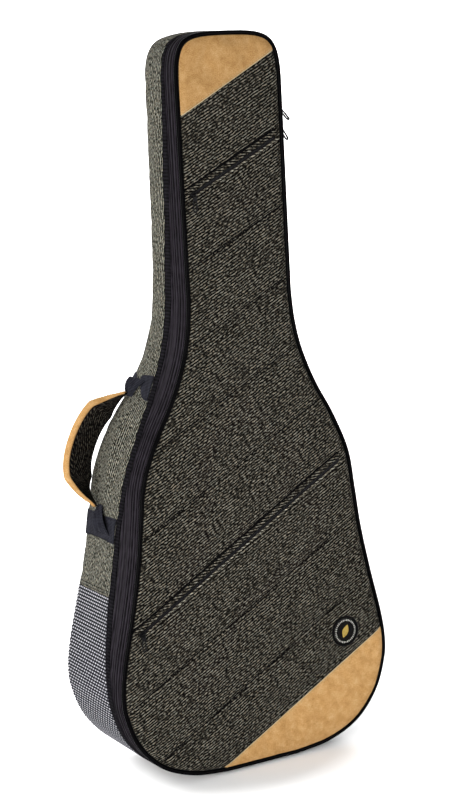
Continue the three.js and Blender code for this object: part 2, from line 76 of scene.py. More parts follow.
# height and depth of the case
DEPTHS = [
    (-60, 166), (0, 172), (50, 182), (130, 189), (260, 184), (400, 171), (520, 154), (600, 134),
    (680, 115), (780, 107), (900, 102), (1000, 97), (1140, 90),
]
# height and depth of the seams round the side: zip strip to binding, and binding to tweed
GROOVE = [
    (-60, 33), (60, 33), (115, 34), (153, 37), (194, 48), (235, 56), (276, 62), (363, 63), (408, 55),
    (454, 46), (500, 45), (535, 49), (576, 56), (640, 57), (703, 50), (761, 46), (850, 39), (927, 34.5),
    (1140, 34.5),
]
BINDING_EDGE = [
    (-60, 48), (100, 48), (149, 51), (191, 61), (232, 71), (274, 78), (361, 78), (406, 69), (454, 60),
    (500, 59), (535, 64), (576, 70), (640, 72), (703, 69), (761, 64), (819, 56), (875, 54), (927, 49),
    (1009, 43), (1140, 42),
]
# depth of the main zip's split between the lid and the case
SPLIT = 28
PIPING_R = 3.1
# inset of the front panel's edge, and depth of its surface
FACE_EDGE = 6.6
LID_FACE = 1.6
# the side's cloth is turned this far onto the back, round a corner of this radius
TURN = 6
REAR_CORNER = 5.0
# height of the scuff patch's top, and heights that the fabric hinge runs between
PATCH_TOP = 277
HINGE_SPAN = (70, 330)

# the pockets' zips, from the left seam to the right one
POCKETS = {
    "upper_pocket": ((-80, 849), (79, 931)),
    "lower_pocket": ((-202, 231), (163, 446)),
}
# a zip stops this far short of its line's ends; its slider rests this far along the line, and is
# held this far off the tape, clear of the folds
END_BRIDGE = 5.5
POCKET_SLIDER_AT = 12.4
SLIDER_CLEAR = 1.1
# straight edges of the suede patches
TOP_SUEDE = ((-90, 959), (90, 1059))
BOTTOM_SUEDE = ((-84, -1), (240, 180))
# sewn channels: height on the bag's middle line; they lie almost parallel to the zips
QUILT_HEIGHTS = [138, 248, 469, 576, 684, 790]
QUILT_SLOPE = 0.59
BADGE_AT = (153, 175)
BADGE_R = 24
# heights of the webbing bands on the left side
LEFT_BANDS = {"upper": 576, "lower": 373}
BAND_HALF = 19


# ---- curves ------------------------------------------------------------------------------------
def spline(points, steps=24):
    """A smooth curve through points, with its ends doubled."""
    p = np.array(points, float)
    p = np.vstack([p[:1], p, p[-1:]])
    u = np.linspace(0, 1, steps, endpoint=False)[:, None]
    runs = []
    for a, b, c, d in zip(p, p[1:], p[2:], p[3:]):
        leave, arrive = (c - a) / 2, (d - b) / 2
        cubic = (2 * b - 2 * c + leave + arrive) * u**3
        square = (3 * c - 3 * b - 2 * leave - arrive) * u**2
        runs.append(cubic + square + leave * u + b)
    return np.vstack(runs + [p[-1:]])


def lengths(points, closed=False):
    """Distance along a polyline to each point, and the whole length."""
    p = np.vstack([points, points[:1]]) if closed else np.asarray(points, float)
    run = np.concatenate([[0], np.cumsum(np.linalg.norm(np.diff(p, axis=0), axis=1))])
    return (run[:-1], run[-1]) if closed else (run, run[-1])


def unit(vectors):
    """Vectors scaled to length 1, along their last axis."""
    return vectors / np.linalg.norm(vectors, axis=-1, keepdims=True)


def bearings(line):
    """Unit directions along a flat line, and square to it on its left."""
    along = unit(np.gradient(line, axis=0))
    return along, np.stack([-along[:, 1], along[:, 0]], -1)


def round_turn(sides):
    """Evenly spaced angles round a full turn."""
    return np.arange(sides) * 2 * math.pi / sides


def hump(x, centre, width, power=2):
    """1 at the centre, falling smoothly to 0 within a few widths."""
    return np.exp(-((x - centre) / width) ** power)


def evenly(points, step):
    """A polyline's points respaced to an even step."""
    run, total = lengths(points)
    at = np.linspace(0, total, max(2, int(round(total / step)) + 1))
    return np.stack([np.interp(at, run, column) for column in np.asarray(points, float).T], -1)


def from_table(table):
    """A function of height that runs smoothly through a table of heights and depths."""
    curve = spline(table)
    return lambda z: np.interp(z, curve[:, 0], curve[:, 1])


back_depth = from_table(DEPTHS)
groove_depth = from_table(GROOVE)
binding_depth = from_table(BINDING_EDGE)


def make_outline():
    """Points 1 mm apart round the front outline, with their inward normals."""
    u = np.linspace(0, 1, 60)[:, None]
    a, b, c, d = (np.array(p, float) for p in (
        (NECK_HALF, NECK_HIGH), (NECK_HALF + 1, HEIGHT - 4), (NECK_HALF - 16, HEIGHT), (0, HEIGHT)))
    corner = a * (1 - u)**3 + 3 * b * u * (1 - u)**2 + 3 * c * u**2 * (1 - u) + d * u**3
    half = np.vstack([[(0, 0)], spline(FLANK), corner[1:]])
    loop = np.vstack([half, half[-2:0:-1] * (-1, 1)])
    run, total = lengths(loop, closed=True)
    count = int(total)
    at = np.arange(count) * total / count
    points = np.stack([np.interp(at, run, column, period=total) for column in loop.T], -1)
    reach = 5
    along = np.roll(points, -reach, axis=0) - np.roll(points, reach, axis=0)
    inward = np.stack([-along[:, 1], along[:, 0]], -1)
    return points, unit(inward), at, total


OUTLINE, INWARD, OUTLINE_AT, PERIMETER = make_outline()


def outline_at(station):
    """Point and inward normal on the outline at any station."""
    s = np.mod(station, PERIMETER)
    take = lambda column: np.interp(s, OUTLINE_AT, column, period=PERIMETER)
    return (np.stack([take(OUTLINE[:, 0]), take(OUTLINE[:, 1])], -1),
            np.stack([take(INWARD[:, 0]), take(INWARD[:, 1])], -1))


def side_point(station, inset, depth):
    """Points of the bag's side: stations, insets and depths of one common shape."""
    station, inset, depth = np.broadcast_arrays(station, inset, depth)
    point, normal = outline_at(station)
    return np.stack([point[..., 0] + normal[..., 0] * inset, FRONT_Y + depth,
                     point[..., 1] + normal[..., 1] * inset], -1)


def station_at(height):
    """Station on the right flank at a height; the left flank's is PERIMETER less it."""
    half = OUTLINE_AT < PERIMETER / 2
    return float(np.interp(height, OUTLINE[half, 1], OUTLINE_AT[half]))


def inset_loop(inset, step):
    """The outline moved inward, as front-view points."""
    point, normal = outline_at(np.arange(0, PERIMETER, step))
    return point + normal * inset


def side_depth(z):
    """Depth of the case's back at heights; never so thin that its parts would meet."""
    return np.maximum(back_depth(z), 60)


def depth_at(height):
    """Depth of the case's back at one height."""
    return float(side_depth(np.array([height]))[0])


def upright(flat, y):
    """Front-view points stood up at a y."""
    return np.stack([flat[..., 0], y + 0 * flat[..., 0], flat[..., 1]], -1)


# ---- meshes ------------------------------------------------------------------------------------
SHARP_ANGLE = 40


def new_object(name, data):
    obj = bpy.data.objects.new(name, data)
    bpy.context.scene.collection.objects.link(obj)
    return obj


def mesh_object(name, points, faces, weave):
    """A mesh from points in mm. weave holds each point's place along and across its cloth."""
    mesh = bpy.data.meshes.new(name)
    mesh.from_pydata((np.asarray(points, float) * MM).tolist(), [], faces)
    mesh.update()
    flat = np.zeros((len(points), 3), np.float32)
    flat[:, :2] = np.asarray(weave, float) * MM
    layer = mesh.attributes.new("weave", "FLOAT_VECTOR", "POINT")
    layer.data.foreach_set("vector", flat.ravel())
    obj = new_object(name, mesh)
    smooth(obj)
    return obj


def smooth(obj):
    obj.data.shade_smooth()
    obj.data.set_sharp_from_angle(angle=math.radians(SHARP_ANGLE))


def grid_faces(rows, columns, wrap_rows=False, wrap_columns=False):
    """Quads between the points of a grid, closed on itself where it wraps."""
    index = np.arange(rows * columns).reshape(rows, columns)
    below = np.roll(index, -1, axis=0)
    beside = np.roll(index, -1, axis=1)
    diagonal = np.roll(below, -1, axis=1)
    quads = np.stack([index, beside, diagonal, below], -1)
    quads = quads[: None if wrap_rows else -1, : None if wrap_columns else -1]
    return quads.reshape(-1, 4).tolist()


def grid_weave(grid):
    """Distances along the rows and across each row, as the cloth's own coordinates."""
    centre = grid.mean(axis=1)
    along = lengths(centre)[0][:, None] * np.ones(grid.shape[1])
    steps = np.linalg.norm(np.diff(grid, axis=1), axis=2)
    across = np.concatenate([np.zeros((len(grid), 1)), np.cumsum(steps, axis=1)], axis=1)
    return np.stack([along, across], -1).reshape(-1, 2)


def sheet(name, grid):
    """An open sheet through a grid of points."""
    return mesh_object(name, grid.reshape(-1, 3), grid_faces(*grid.shape[:2]), grid_weave(grid))


def loft(name, rings, wrap=False):
    """A closed skin through closed rings of points, capped at its ends unless it wraps."""
    rings = np.asarray(rings, float)
    rows, columns = rings.shape[:2]
    faces = grid_faces(rows, columns, wrap, True)
    if not wrap:
        first = list(range(columns))
        faces += [first[::-1], [(rows - 1) * columns + i for i in first]]
    obj = mesh_object(name, rings.reshape(-1, 3), faces, grid_weave(rings))
    outward(obj)
    return obj


def outward(obj):
    """Turns the faces of a closed mesh so that they look out of it."""
    mesh = obj.data
    co = np.zeros(len(mesh.vertices) * 3)
    mesh.vertices.foreach_get("co", co)
    co = co.reshape(-1, 3)
    mesh.calc_loop_triangles()
    tri = np.zeros(len(mesh.loop_triangles) * 3, int)
    mesh.loop_triangles.foreach_get("vertices", tri)
    a, b, c = (co[tri.reshape(-1, 3)[:, i]] for i in range(3))
    if np.einsum("ij,ij->i", a, np.cross(b, c)).sum() < 0:
        mesh.flip_normals()
    smooth(obj)


def apply_modifiers(obj):
    """Bakes the object's modifiers into its mesh."""
    graph = bpy.context.evaluated_depsgraph_get()
    made = bpy.data.meshes.new_from_object(obj.evaluated_get(graph), depsgraph=graph)
    old = obj.data
    obj.modifiers.clear()
    obj.data = made
    bpy.data.meshes.remove(old)
    smooth(obj)
    return obj


def refine(obj):
    """Rounds a mesh by one level of subdivision."""
    modifier = obj.modifiers.new("refine", "SUBSURF")
    modifier.levels = modifier.render_levels = 1
    modifier.boundary_smooth = "PRESERVE_CORNERS"
    return apply_modifiers(obj)


def thicken(obj, thickness):
    """Gives a sheet its thickness, inward from the side that its faces show."""
    modifier = obj.modifiers.new("thickness", "SOLIDIFY")
    modifier.thickness = thickness * MM
    modifier.offset = -1
    apply_modifiers(obj)


def points_of(obj):
    """An object's points, in mm."""
    co = np.zeros(len(obj.data.vertices) * 3)
    obj.data.vertices.foreach_get("co", co)
    return co.reshape(-1, 3) / MM


def set_points(obj, points):
    obj.data.vertices.foreach_set("co", (np.asarray(points) * MM).ravel())
    obj.data.update()


def face_towards(obj, direction):
    """Turns an open sheet's faces to one side."""
    total = np.zeros(3)
    for polygon in obj.data.polygons:
        total += np.array(polygon.normal) * polygon.area
    if total @ np.array(direction, float) < 0:
        obj.data.flip_normals()


def upright_sheet(name, filled, y, facing):
    """A filled front-view shape stood up at a y, its faces to the front (-1) or to the back (1)."""
    flat, triangles = filled
    obj = mesh_object(name, upright(flat, y), triangles, flat)
    face_towards(obj, (0, facing, 0))
    return obj


def face_outward(obj):
    """Turns a side sheet's faces away from the bag's middle."""
    vote = 0.0
    for polygon in obj.data.polygons:
        centre = polygon.center
        vote += polygon.area * (polygon.normal.x * centre.x + polygon.normal.z * (centre.z - 0.5))
    if vote < 0:
        obj.data.flip_normals()


# ---- soft noise, the same each run -------------------------------------------------------------
def ripple(points, size, seed=0):
    """Smooth waves of about this size in mm, between -1 and 1."""
    draw = np.random.default_rng(seed)
    total = np.zeros(len(points))
    for _ in range(9):
        direction = draw.normal(size=points.shape[1])
        direction /= np.linalg.norm(direction)
        total += np.sin(points @ direction * (2 * math.pi / (size * draw.uniform(0.7, 1.6)))
                        + draw.uniform(0, 2 * math.pi))
    return total / 5


# ---- cloth simulation --------------------------------------------------------------------------
CLOTH_FRAMES = 20
waiting = []


def inflate_later(obj, pinned, pressure=4.0, cap=6.0, slack=0.01, bending=0.5):
    """Cloth under pressure between its pinned seams; every such piece runs in one pass."""
    waiting.append((obj, np.asarray(pinned, bool), pressure, cap, slack, bending))


def run_inflation():
    """Runs every waiting cloth together, then holds each point's move within its cap."""
    starts = [points_of(piece[0]) for piece in waiting]
    for obj, pinned, pressure, _, slack, bending in waiting:
        group = obj.vertex_groups.new(name="seams")
        group.add(np.flatnonzero(pinned).tolist(), 1.0, "REPLACE")
        modifier = obj.modifiers.new("cloth", "CLOTH")
        cloth = modifier.settings
        cloth.quality = 6
        cloth.mass = 0.25
        cloth.tension_stiffness = 18
        cloth.compression_stiffness = 18
        cloth.shear_stiffness = 8
        cloth.bending_stiffness = bending
        cloth.air_damping = 3
        cloth.vertex_group_mass = "seams"
        cloth.use_pressure = True
        cloth.uniform_pressure_force = pressure
        cloth.shrink_min = -slack
        cloth.effector_weights.gravity = 0
        modifier.collision_settings.use_collision = False
        modifier.collision_settings.use_self_collision = False
        modifier.point_cache.frame_start = 1
        modifier.point_cache.frame_end = CLOTH_FRAMES
    for number in range(1, CLOTH_FRAMES + 1):
        bpy.context.scene.frame_set(number)
    for start, (obj, _, _, cap, _, _) in zip(starts, waiting):
        apply_modifiers(obj)
        move = points_of(obj) - start
        far = np.linalg.norm(move, axis=1)[:, None]
        held = cap * np.tanh(far / cap)
        set_points(obj, start + move * held / np.maximum(far, 1e-6))
        obj.vertex_groups.clear()
    bpy.context.scene.frame_set(1)


# ---- filling front-view shapes -----------------------------------------------------------------
def inside(points, loop):
    """Which points lie inside a closed loop."""
    result = np.zeros(len(points), bool)
    x, z = points[:, 0], points[:, 1]
    for (x0, z0), (x1, z1) in zip(loop, np.roll(loop, -1, axis=0)):
        if z0 == z1:
            continue
        crosses = (z0 > z) != (z1 > z)
        result ^= crosses & (x < (x1 - x0) * (z - z0) / (z1 - z0) + x0)
    return result


def distance_to(points, polyline, closed=False):
    """Distance of each point to a polyline."""
    a = np.asarray(polyline, float)
    b = np.roll(a, -1, axis=0) if closed else a[1:]
    a = a if closed else a[:-1]
    best = np.full(len(points), 1e9)
    for start, end in zip(a, b):
        span = end - start
        share = np.clip((points - start) @ span / max(span @ span, 1e-9), 0, 1)
        best = np.minimum(best, np.linalg.norm(points - start - share[:, None] * span, axis=1))
    return best


def fill(loop, spacing, seams=(), holes=()):
    """Points and triangles that fill a loop, with edges along the seams and round the holes."""
    edge_step = spacing * 0.8
    clear = spacing * 0.55
    rings = [evenly(np.vstack([ring, ring[:1]]), edge_step)[:-1] for ring in [loop, *holes]]
    lines = [evenly(np.array(line, float), edge_step) for line in seams]
    low, high = rings[0].min(axis=0), rings[0].max(axis=0)
    rows = np.arange(low[1], high[1], spacing * 0.866)
    columns = np.arange(low[0], high[0], spacing)
    x, z = np.meshgrid(columns, rows)
    x[1::2] += spacing / 2
    field = np.stack([x.ravel(), z.ravel()], -1)
    field = field[inside(field, rings[0])]
    for ring in rings[1:]:
        field = field[~inside(field, ring)]
    for ring in rings:
        field = field[distance_to(field, ring[::2], closed=True) > clear]
    for line in lines:
        field = field[distance_to(field, line[[0, -1]]) > clear]
    points = np.vstack([*rings, *lines, field])
    edges = []
    start = 0
    for ring in rings:
        edges += [(start + i, start + (i + 1) % len(ring)) for i in range(len(ring))]
        start += len(ring)
    for line in lines:
        edges += [(start + i, start + i + 1) for i in range(len(line) - 1)]
        start += len(line)
    made, _, faces, *_ = delaunay_2d_cdt([Vector(p) for p in points.tolist()], edges, [], 0, 1e-6)
    flat = np.array([tuple(v) for v in made])
    triangles = np.array([face for face in faces if len(face) == 3])
    centres = flat[triangles].mean(axis=1)
    keep = inside(centres, rings[0])
    for ring in rings[1:]:
        keep &= ~inside(centres, ring)
    triangles = triangles[keep]
    used = np.unique(triangles)
    renumber = np.full(len(flat), -1)
    renumber[used] = np.arange(len(used))
    return flat[used], renumber[triangles].tolist()


def line_frame(line):
    """Start, unit direction and upper normal of a front-view line, and its length."""
    a, b = np.array(line[0], float), np.array(line[1], float)
    length = float(np.linalg.norm(b - a))
    direction = (b - a) / length
    return a, direction, np.array([-direction[1], direction[0]]), length


def strip_loop(line, from_end, low, high):
    """A rectangle along a line, short of both ends, between two distances above it."""
    a, direction, up, length = line_frame(line)
    return np.array([a + direction * s + up * v for s, v in (
        (from_end, low), (length - from_end, low), (length - from_end, high), (from_end, high))])


# ---- stitches and zip teeth --------------------------------------------------------------------
FORWARD = np.array([0.0, -1.0, 0.0])
BACKWARD = np.array([0.0, 1.0, 0.0])


def scatter(name, rings, place):
    """Many small six-sided lofts as one mesh: place lays copies of the template out in mm."""
    sides = 6
    template = np.array([(s, r * math.cos(t), r * math.sin(t)) for s, r in rings for t in round_turn(sides)])
    local = place(template[None])
    size = len(template)
    one = grid_faces(len(rings), sides, False, True)
    one += [list(range(sides))[::-1], [size - sides + i for i in range(sides)]]
    faces = [[i + k * size for i in face] for k in range(len(local)) for face in one]
    points = local.reshape(-1, 3)
    obj = mesh_object(name, points, faces, points[:, [0, 2]])
    outward(obj)
    return obj


def stitches(name, path, normals, step=4.2, length=3.0, radius=0.4):
    """A row of short threads on a path in mm; normals is one direction or one for each point."""
    run, total = lengths(path)
    count = max(1, int(total / step))
    at = (np.arange(count) + 0.5) * total / count
    taken = lambda rows, place: np.stack([np.interp(place, run, column) for column in rows.T], -1)
    centre = taken(path, at)
    along = unit(taken(path, at + 0.5) - taken(path, at - 0.5))
    up = taken(np.broadcast_to(normals, path.shape), at)
    up = unit(up - np.einsum("ij,ij->i", up, along)[:, None] * along)
    side = np.cross(along, up)

    def place(thread):
        sag = thread[..., :1] ** 2 * 1.2 * radius
        return (centre[:, None] + along[:, None] * thread[..., :1] * length
                + side[:, None] * thread[..., 1:2] * radius
                + up[:, None] * (thread[..., 2:3] * radius * 0.8 - sag))

    return scatter(name, [(-0.5, 0.25), (-0.34, 0.85), (0, 1), (0.34, 0.85), (0.5, 0.25)], place)


def coil_teeth(name, centres, along, across, up, width, height, depth):
    """A row of rounded coil teeth; each direction is one vector or one for each tooth."""
    along, across, up = (np.broadcast_to(v, centres.shape)[:, None] for v in (along, across, up))

    def place(tooth):
        return (centres[:, None] + across * tooth[..., :1] * width
                + along * tooth[..., 1:2] * depth * 0.5 + up * tooth[..., 2:3] * height * 0.5)

    return scatter(name, [(-0.5, 0.55), (-0.36, 1), (0.36, 1), (0.5, 0.55)], place)


def joined(name, objects):
    """Several meshes as one piece."""
    points, faces, weave, start = [], [], [], 0
    for obj in objects:
        mesh = obj.data
        points.append(points_of(obj))
        faces += [[start + i for i in polygon.vertices] for polygon in mesh.polygons]
        start += len(mesh.vertices)
        layer = mesh.attributes.get("weave")
        values = np.zeros(len(mesh.vertices) * 3, np.float32)
        if layer is not None:
            layer.data.foreach_get("vector", values)
        weave.append(values.reshape(-1, 3)[:, :2] / MM)
        bpy.data.objects.remove(obj)
        bpy.data.meshes.remove(mesh)
    return mesh_object(name, np.vstack(points), faces, np.vstack(weave))


# ---- materials ---------------------------------------------------------------------------------
STUDIO_LIGHT = 2.9


def srgb(red, green, blue):
    """The paint that looks like these display values, 0 to 255, in the studio's light."""
    turn = lambda c: c / 12.92 if c <= 0.04045 else ((c + 0.055) / 1.055) ** 2.4
    return (*(turn(c / 255) / STUDIO_LIGHT for c in (red, green, blue)), 1.0)


class Look:
    """A procedural material under construction."""

    def __init__(self, name, roughness, gloss=0.02, metallic=0.0):
        self.material = bpy.data.materials.new(name)
        self.material.use_nodes = True
        self.tree = self.material.node_tree
        self.shader = self.tree.nodes["Principled BSDF"]
        self.shader.inputs["Roughness"].default_value = roughness
        self.shader.inputs["Specular IOR Level"].default_value = gloss
        self.shader.inputs["Metallic"].default_value = metallic

    def node(self, kind, inputs=None, **settings):
        made = self.tree.nodes.new(kind)
        for key, value in settings.items():
            setattr(made, key, value)
        for key, value in (inputs or {}).items():
            socket = made.inputs[key]
            if isinstance(value, bpy.types.NodeSocket):
                self.tree.links.new(value, socket)
            else:
                socket.default_value = value
        return made

    def link(self, output, socket):
        self.tree.links.new(output, self.shader.inputs[socket])

    def cloth_place(self):
        """The cloth's own coordinates, in metres."""
        return self.node("ShaderNodeAttribute", attribute_name="weave").outputs["Vector"]

    def place(self):
        return self.node("ShaderNodeTexCoord").outputs["Object"]

    def mapped(self, vector, scale, turn=0.0):
        """Coordinates turned in their own plane, then scaled to repeats per metre."""
        turned = self.node("ShaderNodeVectorRotate", {"Vector": vector, "Angle": math.radians(turn)},
                           rotation_type="Z_AXIS")
        return self.node("ShaderNodeVectorMath", {0: turned.outputs[0], 1: scale},
                         operation="MULTIPLY").outputs[0]

    def noise(self, vector, scale=1.0, detail=2.0, roughness=0.5):
        return self.node("ShaderNodeTexNoise", {
            "Vector": vector, "Scale": scale, "Detail": detail, "Roughness": roughness}).outputs["Fac"]

    def math(self, operation, a, b):
        return self.node("ShaderNodeMath", {0: a, 1: b}, operation=operation).outputs[0]

    def centred(self, value):
        return self.math("SUBTRACT", value, 0.5)

    def weighted(self, *terms):
        """The sum of values times their weights."""
        parts = [self.math("MULTIPLY", value, weight) for value, weight in terms]
        total = parts[0]
        for part in parts[1:]:
            total = self.math("ADD", total, part)
        return total

    def ramp(self, value, stops):
        """A colour ramp; a stop's colour is three display values, or linear with its alpha."""
        made = self.node("ShaderNodeValToRGB", {"Fac": value})
        elements = made.color_ramp.elements
        while len(elements) < len(stops):
            elements.new(0.5)
        for element, (position, colour) in zip(elements, stops):
            element.position = position
            element.color = colour if len(colour) == 4 else srgb(*colour)
        return made.outputs["Color"]

    def mix(self, factor, a, b, blend="MIX"):
        made = self.node("ShaderNodeMix", data_type="RGBA", blend_type=blend)
        for socket, value in ((made.inputs[0], factor), (made.inputs[6], a), (made.inputs[7], b)):
            if isinstance(value, bpy.types.NodeSocket):
                self.tree.links.new(value, socket)
            else:
                socket.default_value = value
        return made.outputs[2]

    def bump(self, height, distance, strength):
        made = self.node("ShaderNodeBump", {
            "Height": height, "Distance": distance * MM, "Strength": strength})
        self.link(made.outputs[0], "Normal")


def grey(value):
    """A linear grey, with its alpha."""
    return (value, value, value, 1.0)


def tweed_look(name, dark, middle, light, slant=28, fleck=(1.85, 5.0),
               stops=(0.42, 0.54, 0.73), pitch=3.8, tint=0.4):
    """Twill tweed: slanting rows of mixed yarns with pale flecks."""
    look = Look(name, roughness=0.95)
    cloth = look.cloth_place()
    fine = (1000 / fleck[1], 1000 / fleck[0], 1)
    flecks = look.noise(look.mapped(cloth, fine, -slant), detail=1.5, roughness=0.5)
    counter = look.noise(look.mapped(cloth, fine, 80 - slant), detail=1.0)
    patch = look.noise(look.mapped(cloth, (30, 30, 1)), detail=2.0)
    rows = look.node("ShaderNodeTexWave", {
        "Vector": look.mapped(cloth, (1000 / pitch, 1000 / pitch, 1), -slant), "Scale": 0.314,
        "Distortion": 1.2, "Detail": 1.0, "Detail Scale": 0.6}, bands_direction="Y").outputs["Fac"]
    yarn = look.weighted((flecks, 0.9), (counter, 0.1), (look.centred(rows), 0.24),
                         (look.centred(patch), 0.05))
    colour = look.ramp(yarn, list(zip(stops, (dark, middle, light))))
    hue = look.noise(look.mapped(cloth, (420, 420, 1)), detail=1.0)
    warm = look.ramp(hue, [(0.40, (1.25, 1.0, 0.72, 1)), (0.5, grey(1.0)), (0.60, (0.86, 1.0, 1.06, 1))])
    look.link(look.mix(tint, colour, warm, "MULTIPLY"), "Base Color")
    look.bump(yarn, 1.0, 0.7)
    return look.material


def suede_look(name, lighter=1.0):
    """Brushed leather: a soft mottle and a fine nap."""
    look = Look(name, roughness=0.95)
    cloth = look.cloth_place()
    nap = look.noise(look.mapped(cloth, (70, 70, 1)), detail=6.0, roughness=0.75)
    fine = look.noise(look.mapped(cloth, (700, 700, 1)), detail=2.0)
    stops = [(at, (*(c * lighter for c in srgb(*colour)[:3]), 1.0)) for at, colour in (
        (0.3, (166, 119, 61)), (0.5, (217, 168, 107)), (0.7, (246, 207, 152)))]
    look.link(look.ramp(look.weighted((nap, 0.55), (fine, 0.45)), stops), "Base Color")
    look.bump(fine, 0.3, 0.5)
    return look.material


def ribbed_cloth_look(name, base, pale, pitch, roughness, depth, along=True):
    """Cloth with fine ribs across or along it: tape, binding and webbing."""
    look = Look(name, roughness=roughness)
    cloth = look.cloth_place()
    ribs = look.node("ShaderNodeTexWave", {
        "Vector": look.mapped(cloth, (1000 / pitch, 1000 / pitch, 1), 0 if along else 90),
        "Scale": 0.16, "Distortion": 0.3}).outputs["Fac"]
    wear = look.noise(look.mapped(cloth, (60, 140, 1)), detail=3.0)
    value = look.weighted((ribs, 0.35), (wear, 0.65))
    look.link(look.ramp(value, [(0.3, base), (0.75, pale)]), "Base Color")
    look.bump(ribs, depth, 0.6)
    return look.material


def piping_look(name):
    look = Look(name, roughness=0.3, gloss=0.01)
    grain = look.noise(look.place(), scale=700, detail=2.0)
    tone = look.noise(look.place(), scale=30, detail=2.0)
    look.link(look.ramp(tone, [(0.35, (5, 5, 6)), (0.7, (10, 9, 11))]), "Base Color")
    look.bump(grain, 0.12, 0.5)
    return look.material


def hard_look(name, low, high, roughness, metallic=0.0, gloss=0.3):
    """Cast metal, enamel and plastic, with a faint unevenness."""
    look = Look(name, roughness=roughness, gloss=gloss, metallic=metallic)
    tone = look.noise(look.place(), scale=260, detail=3.0)
    look.link(look.ramp(tone, [(0.35, low), (0.65, high)]), "Base Color")
    look.bump(tone, 0.06, 0.4)
    return look.material


def soft_look(name, dark, light, scale):
    """Plush, foam and thread: a soft, finely mottled surface."""
    look = Look(name, roughness=0.95)
    fine = look.noise(look.place(), scale=scale, detail=3.0, roughness=0.65)
    broad = look.noise(look.place(), scale=22, detail=2.0)
    value = look.weighted((fine, 0.8), (broad, 0.2))
    look.link(look.ramp(value, [(0.38, dark), (0.62, light)]), "Base Color")
    look.bump(fine, 0.5, 0.7)
    return look.material


def ribbed_patch_look(name):
    """Pale raised ribs over a dark ground, by the rib height that the mesh carries."""
    look = Look(name, roughness=0.7, gloss=0.05)
    rib = look.node("ShaderNodeAttribute", attribute_name="rib").outputs["Fac"]
    wear = look.noise(look.mapped(look.cloth_place(), (220, 420, 1)), detail=2.0)
    value = look.math("ADD", rib, look.weighted((look.centred(wear), 0.3)))
    stops = [(0.4, (5, 5, 10)), (0.66, (92, 93, 106)), (0.96, (250, 250, 255))]
    look.link(look.ramp(value, stops), "Base Color")
    return look.material


LOOKS = {}


def add_look(make, name, *values, **settings):
    LOOKS[name] = make(name, *values, **settings)


add_look(tweed_look, "tweed", (10, 9, 8), (54, 51, 45), (164, 159, 146))
# painted highlight: a lighter copy of the front's tweed for the pocket's lower roll, whose edge catches the
# light
add_look(tweed_look, "tweed_edge", (50, 47, 42), (118, 114, 102), (220, 216, 200))
# the side's and the back's tweed: a flatter, coarser weave, and painted lighter than the front's tweed as
# painted light, standing in for the key light falling on the left side
add_look(tweed_look, "side_tweed", (14, 14, 12), (68, 68, 61), (188, 186, 172),
         slant=8, fleck=(1.5, 4.2), stops=(0.38, 0.51, 0.70))
# painted shade: a darker copy of the front's tweed for the handle pad, whose inner face lies in shade
add_look(tweed_look, "handle_tweed", (8, 7, 7), (30, 28, 26), (104, 98, 88))
add_look(suede_look, "suede")
# painted light: the bottom patch's suede is made lighter than the top patch's, because the top gets less
# light
add_look(suede_look, "low_suede", 1.16)
add_look(suede_look, "leather", 1.05)
# the cream cord along each suede patch's straight edge: partly the raw cut edge's own colour, partly a
# painted highlight where the edge catches the light
add_look(soft_look, "suede_edge", (212, 186, 138), (240, 222, 184), 900)
add_look(ribbed_patch_look, "ribbed_patch")
add_look(piping_look, "piping")
add_look(ribbed_cloth_look, "tape", (3, 2, 4), (54, 49, 57), 4.0, 0.7, 0.3, along=False)
add_look(hard_look, "coil", (12, 11, 13), (26, 25, 28), 0.45, gloss=0.1)
add_look(ribbed_cloth_look, "binding", (5, 5, 7), (34, 32, 37), 2.6, 0.95, 0.6)
add_look(ribbed_cloth_look, "webbing", (20, 20, 25), (64, 65, 75), 1.1, 0.8, 0.3)
add_look(ribbed_cloth_look, "strap_pad", (20, 20, 21), (44, 43, 43), 1.5, 0.9, 0.4)
add_look(soft_look, "plush", (72, 66, 60), (112, 103, 94), 600)
add_look(soft_look, "foam", (60, 60, 62), (84, 84, 86), 300)
add_look(ribbed_cloth_look, "pouch", (30, 30, 32), (46, 46, 48), 1.0, 0.8, 0.2)
add_look(soft_look, "thread", (206, 176, 124), (236, 212, 166), 1500)
add_look(soft_look, "dark_thread", (8, 8, 9), (20, 19, 21), 1500)
add_look(hard_look, "metal", (5, 5, 6), (18, 18, 20), 0.4, 0.1, 0.06)
add_look(hard_look, "badge_black", (3, 3, 3), (8, 8, 8), 0.35, gloss=0.03)
add_look(hard_look, "badge_face", (10, 9, 8), (20, 18, 16), 0.5, gloss=0.03)
add_look(hard_look, "gold", (176, 142, 44), (214, 182, 84), 0.35, 0.4)
add_look(hard_look, "pale", (236, 233, 222), (255, 253, 246), 0.5, gloss=0.1)
add_look(hard_look, "buckle", (14, 14, 15), (28, 28, 30), 0.45, gloss=0.2)


def finish_piece(obj, look, body, slot, *nodes, fill_share=None):
    """Gives a piece its look, its body and the nodes that it stands for; its record slot is not used.

    A piece without a body is left without one; its maker bakes its place into its mesh.
    """
    obj.data.materials.clear()
    obj.data.materials.append(LOOKS[look])
    if body:
        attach(obj, body)
    if nodes:
        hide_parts(*nodes)


# ---- the lid's front panel ---------------------------------------------------------------------
def quilt_line(height):
    """A sewn channel across the front panel; its slope eases towards the head."""
    slope = QUILT_SLOPE - 0.0001 * height
    x = np.linspace(-260, 260, 521)
    line = np.stack([x, height + slope * x], -1)
    return line[inside(line, inset_loop(FACE_EDGE + 3, 4))][[0, -1]]


def beside_zip(line, above):
    """A line along a pocket's zip, some distance above it."""
    a, direction, up, length = line_frame(line)
    return np.array([a + direction * s + up * above for s in (2, length - 2)])


